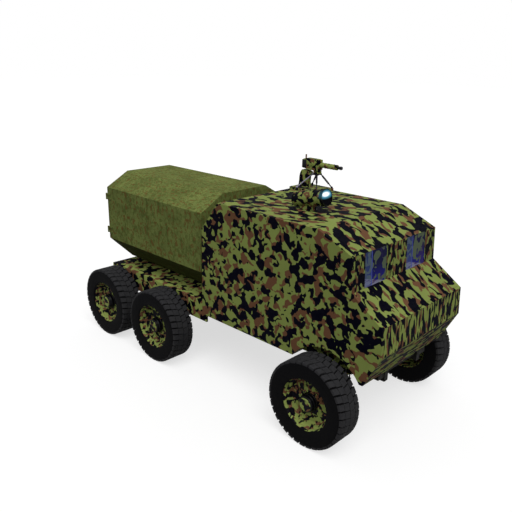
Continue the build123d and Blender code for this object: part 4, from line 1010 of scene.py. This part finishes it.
class TRUCK_OT_door_lock(bpy.types.Operator):
    """Adds the cab door's lock plate and the screws of its hinges"""
    bl_idname = "truck.door_lock"
    bl_label = "Fit the cab door's lock"

    def execute(self, context):
        low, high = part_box("cab_door")
        face = -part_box("cab_side_right")[0].y
        x = low.x + 0.07
        bm = bmesh.new()
        span_box(bm, (x - 0.025, face - 0.001, LOCK_Z - 0.035),
                 (x + 0.025, face + 0.004, LOCK_Z + 0.035), 0.002)
        rod(bm, (x, face, LOCK_Z), (x, face + 0.009, LOCK_Z), 0.012)
        for z in HINGE_SCREWS:
            bolt(bm, (high.x - 0.032, face + 0.008, z), (0, 1, 0), 0.006)
        steel_piece("door_lock", bm, "cab_door")
        return {"FINISHED"}


class TRUCK_OT_dash_gauges(bpy.types.Operator):
    """Adds the gauges and switches on the dashboard"""
    bl_idname = "truck.dash_gauges"
    bl_label = "Fit the dash gauges"

    def execute(self, context):
        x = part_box("dashboard")[1].x - DASH_D
        bm = bmesh.new()
        for y, z, radius in GAUGES:
            rod(bm, (x + 0.004, y, z), (x - 0.008, y, z), radius, 32)
            rod(bm, (x - 0.006, y, z), (x - 0.010, y, z), radius * 0.84, 32)
        for y in SWITCHES:
            rod(bm, (x + 0.004, y, SWITCH_Z), (x - 0.016, y, SWITCH_Z), 0.006, 12)
        piece("dash_gauges", to_mesh("gauges", bm), "chassis", "Zinc-grey fasteners",
              slot="dark_steel")
        return {"FINISHED"}


# Seats, in metres: places along the truck are forward from their rear end.
SEAT_Y = 0.48
SEAT_HALF = 0.24
BACK_LEAN = math.atan2(0.11, 0.62)
SEAT_BOX = (0.115, 0.51, 1.41)        # under the pan: from, to, top
PAN_REAR = 0.095
PAN_TOP = 1.442
BACK_PLATE = ((0.066, 1.80), (0.035, 0.70))   # place and height of its middle, size
RUNNERS = (0.16, 0.46)        # rear edges of the floor runners
RUNNER_W = 0.05
CUSHION_AT = (0.425, 1.505)   # place and height of the pads' middles
BACK_AT = (0.111, 1.875)
# Pads: name, size along, across and thick, and sewn lines along it from its middle.
PADS = (("cushion", (0.39, 0.43, 0.085), (-0.09, 0.0, 0.09)),
        ("back", (0.56, 0.42, 0.07), (-0.14, 0.0, 0.14)))
SEAM_HALF = 0.016
CLOTH_FRAMES = 20


def cushion_form(size, place):
    """Closed block with rounded edges, ready to be swelled into a pad."""
    bm = bmesh.new()
    box(bm, (0, 0, 0), size, bevel=min(size) * 0.33, segments=4)
    bmesh.ops.transform(bm, matrix=place, verts=bm.verts)
    return to_mesh("pad", bm, 60)


def baked(made):
    """The piece's mesh with its modifiers applied."""
    seen = made.evaluated_get(bpy.context.evaluated_depsgraph_get())
    mesh = bpy.data.meshes.new_from_object(seen)
    made.modifiers.clear()
    made.data = mesh


def swell(made, most):
    """Swells a closed pad by a short cloth simulation, and holds each point near its start."""
    shell = made.modifiers.new("shell", "REMESH")
    shell.mode = "VOXEL"
    shell.voxel_size = 0.010
    baked(made)
    start = [v.co.copy() for v in made.data.vertices]
    cloth = made.modifiers.new("cloth", "CLOTH")
    cloth.settings.use_pressure = True
    cloth.settings.uniform_pressure_force = 4.0
    cloth.settings.effector_weights.gravity = 0.0
    cloth.point_cache.frame_start = 1
    cloth.point_cache.frame_end = CLOTH_FRAMES
    for step in range(1, CLOTH_FRAMES + 1):
        bpy.context.scene.frame_set(step)
    baked(made)
    bpy.context.scene.frame_set(1)
    for vert, home in zip(made.data.vertices, start):
        way = vert.co - home
        if way.length > most:
            vert.co = home + way.normalized() * most


def sew(made, place, lines, depth):
    """Presses sewn channels into a pad, across its length, in the pad's own frame."""
    inward = place.inverted()
    for vert in made.data.vertices:
        local = inward @ vert.co
        near = min(abs(local.x - line) for line in lines)
        if near < SEAM_HALF and local.z > 0:
            local.z -= depth * (0.5 + 0.5 * math.cos(math.pi * near / SEAM_HALF))
            vert.co = place @ local


class TRUCK_OT_seats(bpy.types.Operator):
    """Builds the two seats: steel pans and padded cushions in woven cloth"""
    bl_idname = "truck.seats"
    bl_label = "Fit the seats"

    def execute(self, context):
        seat = context.scene.truck_seat
        low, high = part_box("seats")
        rear = low.x
        x0, x1, box_top = SEAT_BOX
        (plate_x, plate_z), (thick, tall) = BACK_PLATE
        bm = bmesh.new()
        for y in (SEAT_Y, -SEAT_Y):
            right, left = y - SEAT_HALF, y + SEAT_HALF
            span_box(bm, (rear + x0, right + 0.03, low.z), (rear + x1, left - 0.03, box_top),
                     0.012)
            span_box(bm, (rear + PAN_REAR, right + 0.006, box_top - 0.01),
                     (high.x - 0.012, left - 0.006, PAN_TOP), 0.012)
            box(bm, (rear + plate_x, y, plate_z), (thick, 2 * SEAT_HALF - 0.03, tall),
                Matrix.Rotation(-BACK_LEAN, 4, "Y"), 0.012)
            for runner in RUNNERS:
                span_box(bm, (rear + runner, right + 0.01, low.z),
                         (rear + runner + RUNNER_W, left - 0.01, low.z + 0.012), 0.003)
        frames = piece("seat_pans", to_mesh("pans", bm), "chassis", "Chassis enamel",
                       slot="chassis_black")
        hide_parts("seats")

        lean = Matrix.Rotation(math.radians(90) - BACK_LEAN, 4, "Y").inverted()
        at = {kind: Matrix.Translation((rear + x, 0, z))
              for kind, (x, z) in (("cushion", CUSHION_AT), ("back", BACK_AT))}
        places = {"cushion": at["cushion"],
                  "back": at["back"] @ lean @ Matrix.Rotation(math.pi, 4, "X")}
        for kind, size, lines in PADS:
            place = places[kind]
            source = piece(f"seat_{kind}_left", cushion_form(size, place), "chassis",
                           "Woven seat cloth", slot="seat_cloth")
            swell(source, seat.swell)
            sew(source, place, lines, seat.channel)
            other = source.data.copy()
            source.data.transform(Matrix.Translation((0, SEAT_Y, 0)))
            other.transform(Matrix.Translation((0, -SEAT_Y, 0)))
            twin = piece(f"seat_{kind}_right", other, "chassis", slot="seat_cloth")
            for made in (source, twin):
                made.data.shade_smooth()
                made.modifiers.new("smooth", "SUBSURF").levels = 1
                made.modifiers["smooth"].render_levels = 1
        return {"FINISHED"}


# ---- stage --------------------------------------------------------------------------
CAMERA_TARGET = Vector((-0.0207, 0.0, 1.7157))
KEY_LIGHT_WAY = Vector((0.42, -0.39, 0.83))
KEY_LIGHT_ANGLE = 50          # degrees across, for soft shadows
FLOOR_HALF = 120.0
# Share of light that the floor throws back to the truck and to the eye, and its own glow.
FLOOR_TO_TRUCK = 0.06
FLOOR_TO_EYE = 0.42
FLOOR_GLOW = 0.66


def shown(tree, lit, seen):
    """Shader that shows one shader to lights and another to the eye, mirrors and glass."""
    camera, *others = add(tree, "LightPath", out=("Is Camera Ray", "Is Glossy Ray",
                                                  "Is Transmission Ray"))
    for ray in others:
        camera = add(tree, "Math", camera, ray, operation="MAXIMUM")
    return add(tree, "MixShader", camera, lit, seen)


class TRUCK_OT_stage(bpy.types.Operator):
    """Lays the pale floor and sets the light and the camera"""
    bl_idname = "truck.stage"
    bl_label = "Set the studio"

    def execute(self, context):
        scene = context.scene
        studio = scene.truck_studio
        bm = bmesh.new()
        bmesh.ops.create_grid(bm, x_segments=1, y_segments=1, size=FLOOR_HALF)
        mesh = bpy.data.meshes.new("floor")
        bm.to_mesh(mesh)
        bm.free()
        floor = bpy.data.objects.new("floor", mesh)
        scene.collection.objects.link(floor)
        tree = blank("Pale studio floor")
        dull = add(tree, "BsdfDiffuse", {"Color": [FLOOR_TO_TRUCK] * 3})
        pale = add(tree, "BsdfDiffuse", {"Color": [FLOOR_TO_EYE] * 3})
        glow = add(tree, "Emission", {"Color": "#ffffff", "Strength": FLOOR_GLOW})
        seen = add(tree, "AddShader", pale, glow)
        add(tree, "OutputMaterial", {"Surface": shown(tree, dull, seen)})
        mesh.materials.append(bpy.data.materials["Pale studio floor"])

        world = bpy.data.worlds.new("Studio")
        scene.world = world
        world.use_nodes = True
        tree = world.node_tree
        tree.nodes.clear()
        fill = add(tree, "Background", {"Color": "#ffffff", "Strength": studio.sky})
        white = add(tree, "Background", {"Color": "#ffffff", "Strength": 1.0})
        add(tree, "OutputWorld", {"Surface": shown(tree, fill, white)})

        key = bpy.data.lights.new("Key light", "SUN")
        key.energy = studio.sun
        key.angle = math.radians(KEY_LIGHT_ANGLE)
        lamp = bpy.data.objects.new("Key light", key)
        lamp.rotation_euler = KEY_LIGHT_WAY.to_track_quat("Z", "Y").to_euler()
        scene.collection.objects.link(lamp)

        view = bpy.data.cameras.new("Camera")
        view.sensor_width = 36.0
        view.lens = studio.lens
        view.clip_end = 400.0
        camera = bpy.data.objects.new("Camera", view)
        scene.collection.objects.link(camera)
        a, e, roll = studio.azimuth, studio.elevation, studio.roll
        back = Vector((math.sin(a) * math.cos(e), -math.cos(a) * math.cos(e), math.sin(e)))
        right = (-back).cross(Vector((0, 0, 1))).normalized()
        up = right.cross(-back)
        level = right * math.cos(roll) + up * math.sin(roll)
        upward = up * math.cos(roll) - right * math.sin(roll)
        turn = Matrix((level, upward, back)).transposed().to_4x4()
        camera.matrix_world = Matrix.Translation(CAMERA_TARGET + back * studio.distance) @ turn
        scene.camera = camera
        scene.view_settings.view_transform = "Standard"
        return {"FINISHED"}


class TRUCK_PT_dressing(bpy.types.Panel):
    """Lists the truck's values and the steps that dress it"""
    bl_idname = "TRUCK_PT_dressing"
    bl_label = "Truck"
    bl_space_type = "VIEW_3D"
    bl_region_type = "UI"
    bl_category = "Truck"

    def draw(self, context):
        for group in GROUPS:
            values = getattr(context.scene, group)
            column = self.layout.column(align=True)
            for name in values.bl_rna.properties.keys():
                if name not in ("rna_type", "name"):
                    column.prop(values, name)
        for operator in OPERATORS:
            self.layout.operator(operator.bl_idname)


GROUPS = {"truck_paint": TruckPaint, "truck_tread": TruckTread, "truck_seat": TruckSeat,
          "truck_studio": TruckStudio}
OPERATORS = (TRUCK_OT_stage, TRUCK_OT_paint, TRUCK_OT_tyres, TRUCK_OT_wheel_trim,
             TRUCK_OT_gun_trim, TRUCK_OT_roof_trim, TRUCK_OT_rear_latch, TRUCK_OT_lamp_frames,
             TRUCK_OT_spring_clamps, TRUCK_OT_case_bolts, TRUCK_OT_door_lock,
             TRUCK_OT_dash_gauges, TRUCK_OT_seats)


def register():
    """Adds the values, the operators and the panel."""
    for name, group in GROUPS.items():
        bpy.utils.register_class(group)
        setattr(bpy.types.Scene, name, bpy.props.PointerProperty(type=group))
    for made in (*OPERATORS, TRUCK_PT_dressing):
        bpy.utils.register_class(made)


def unregister():
    """Takes the panel, the operators and the values away again."""
    for made in (TRUCK_PT_dressing, *reversed(OPERATORS)):
        bpy.utils.unregister_class(made)
    for name, group in reversed(GROUPS.items()):
        delattr(bpy.types.Scene, name)
        bpy.utils.unregister_class(group)


def main():
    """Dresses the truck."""
    register()
    bpy.ops.truck.stage()
    bpy.ops.truck.paint()
    bpy.ops.truck.tyres()
    bpy.ops.truck.wheel_trim()
    bpy.ops.truck.gun_trim()
    bpy.ops.truck.roof_trim()
    bpy.ops.truck.rear_latch()
    bpy.ops.truck.lamp_frames()
    bpy.ops.truck.spring_clamps()
    bpy.ops.truck.case_bolts()
    bpy.ops.truck.door_lock()
    bpy.ops.truck.dash_gauges()
    bpy.ops.truck.seats()


if __name__ == "__main__":
    main()
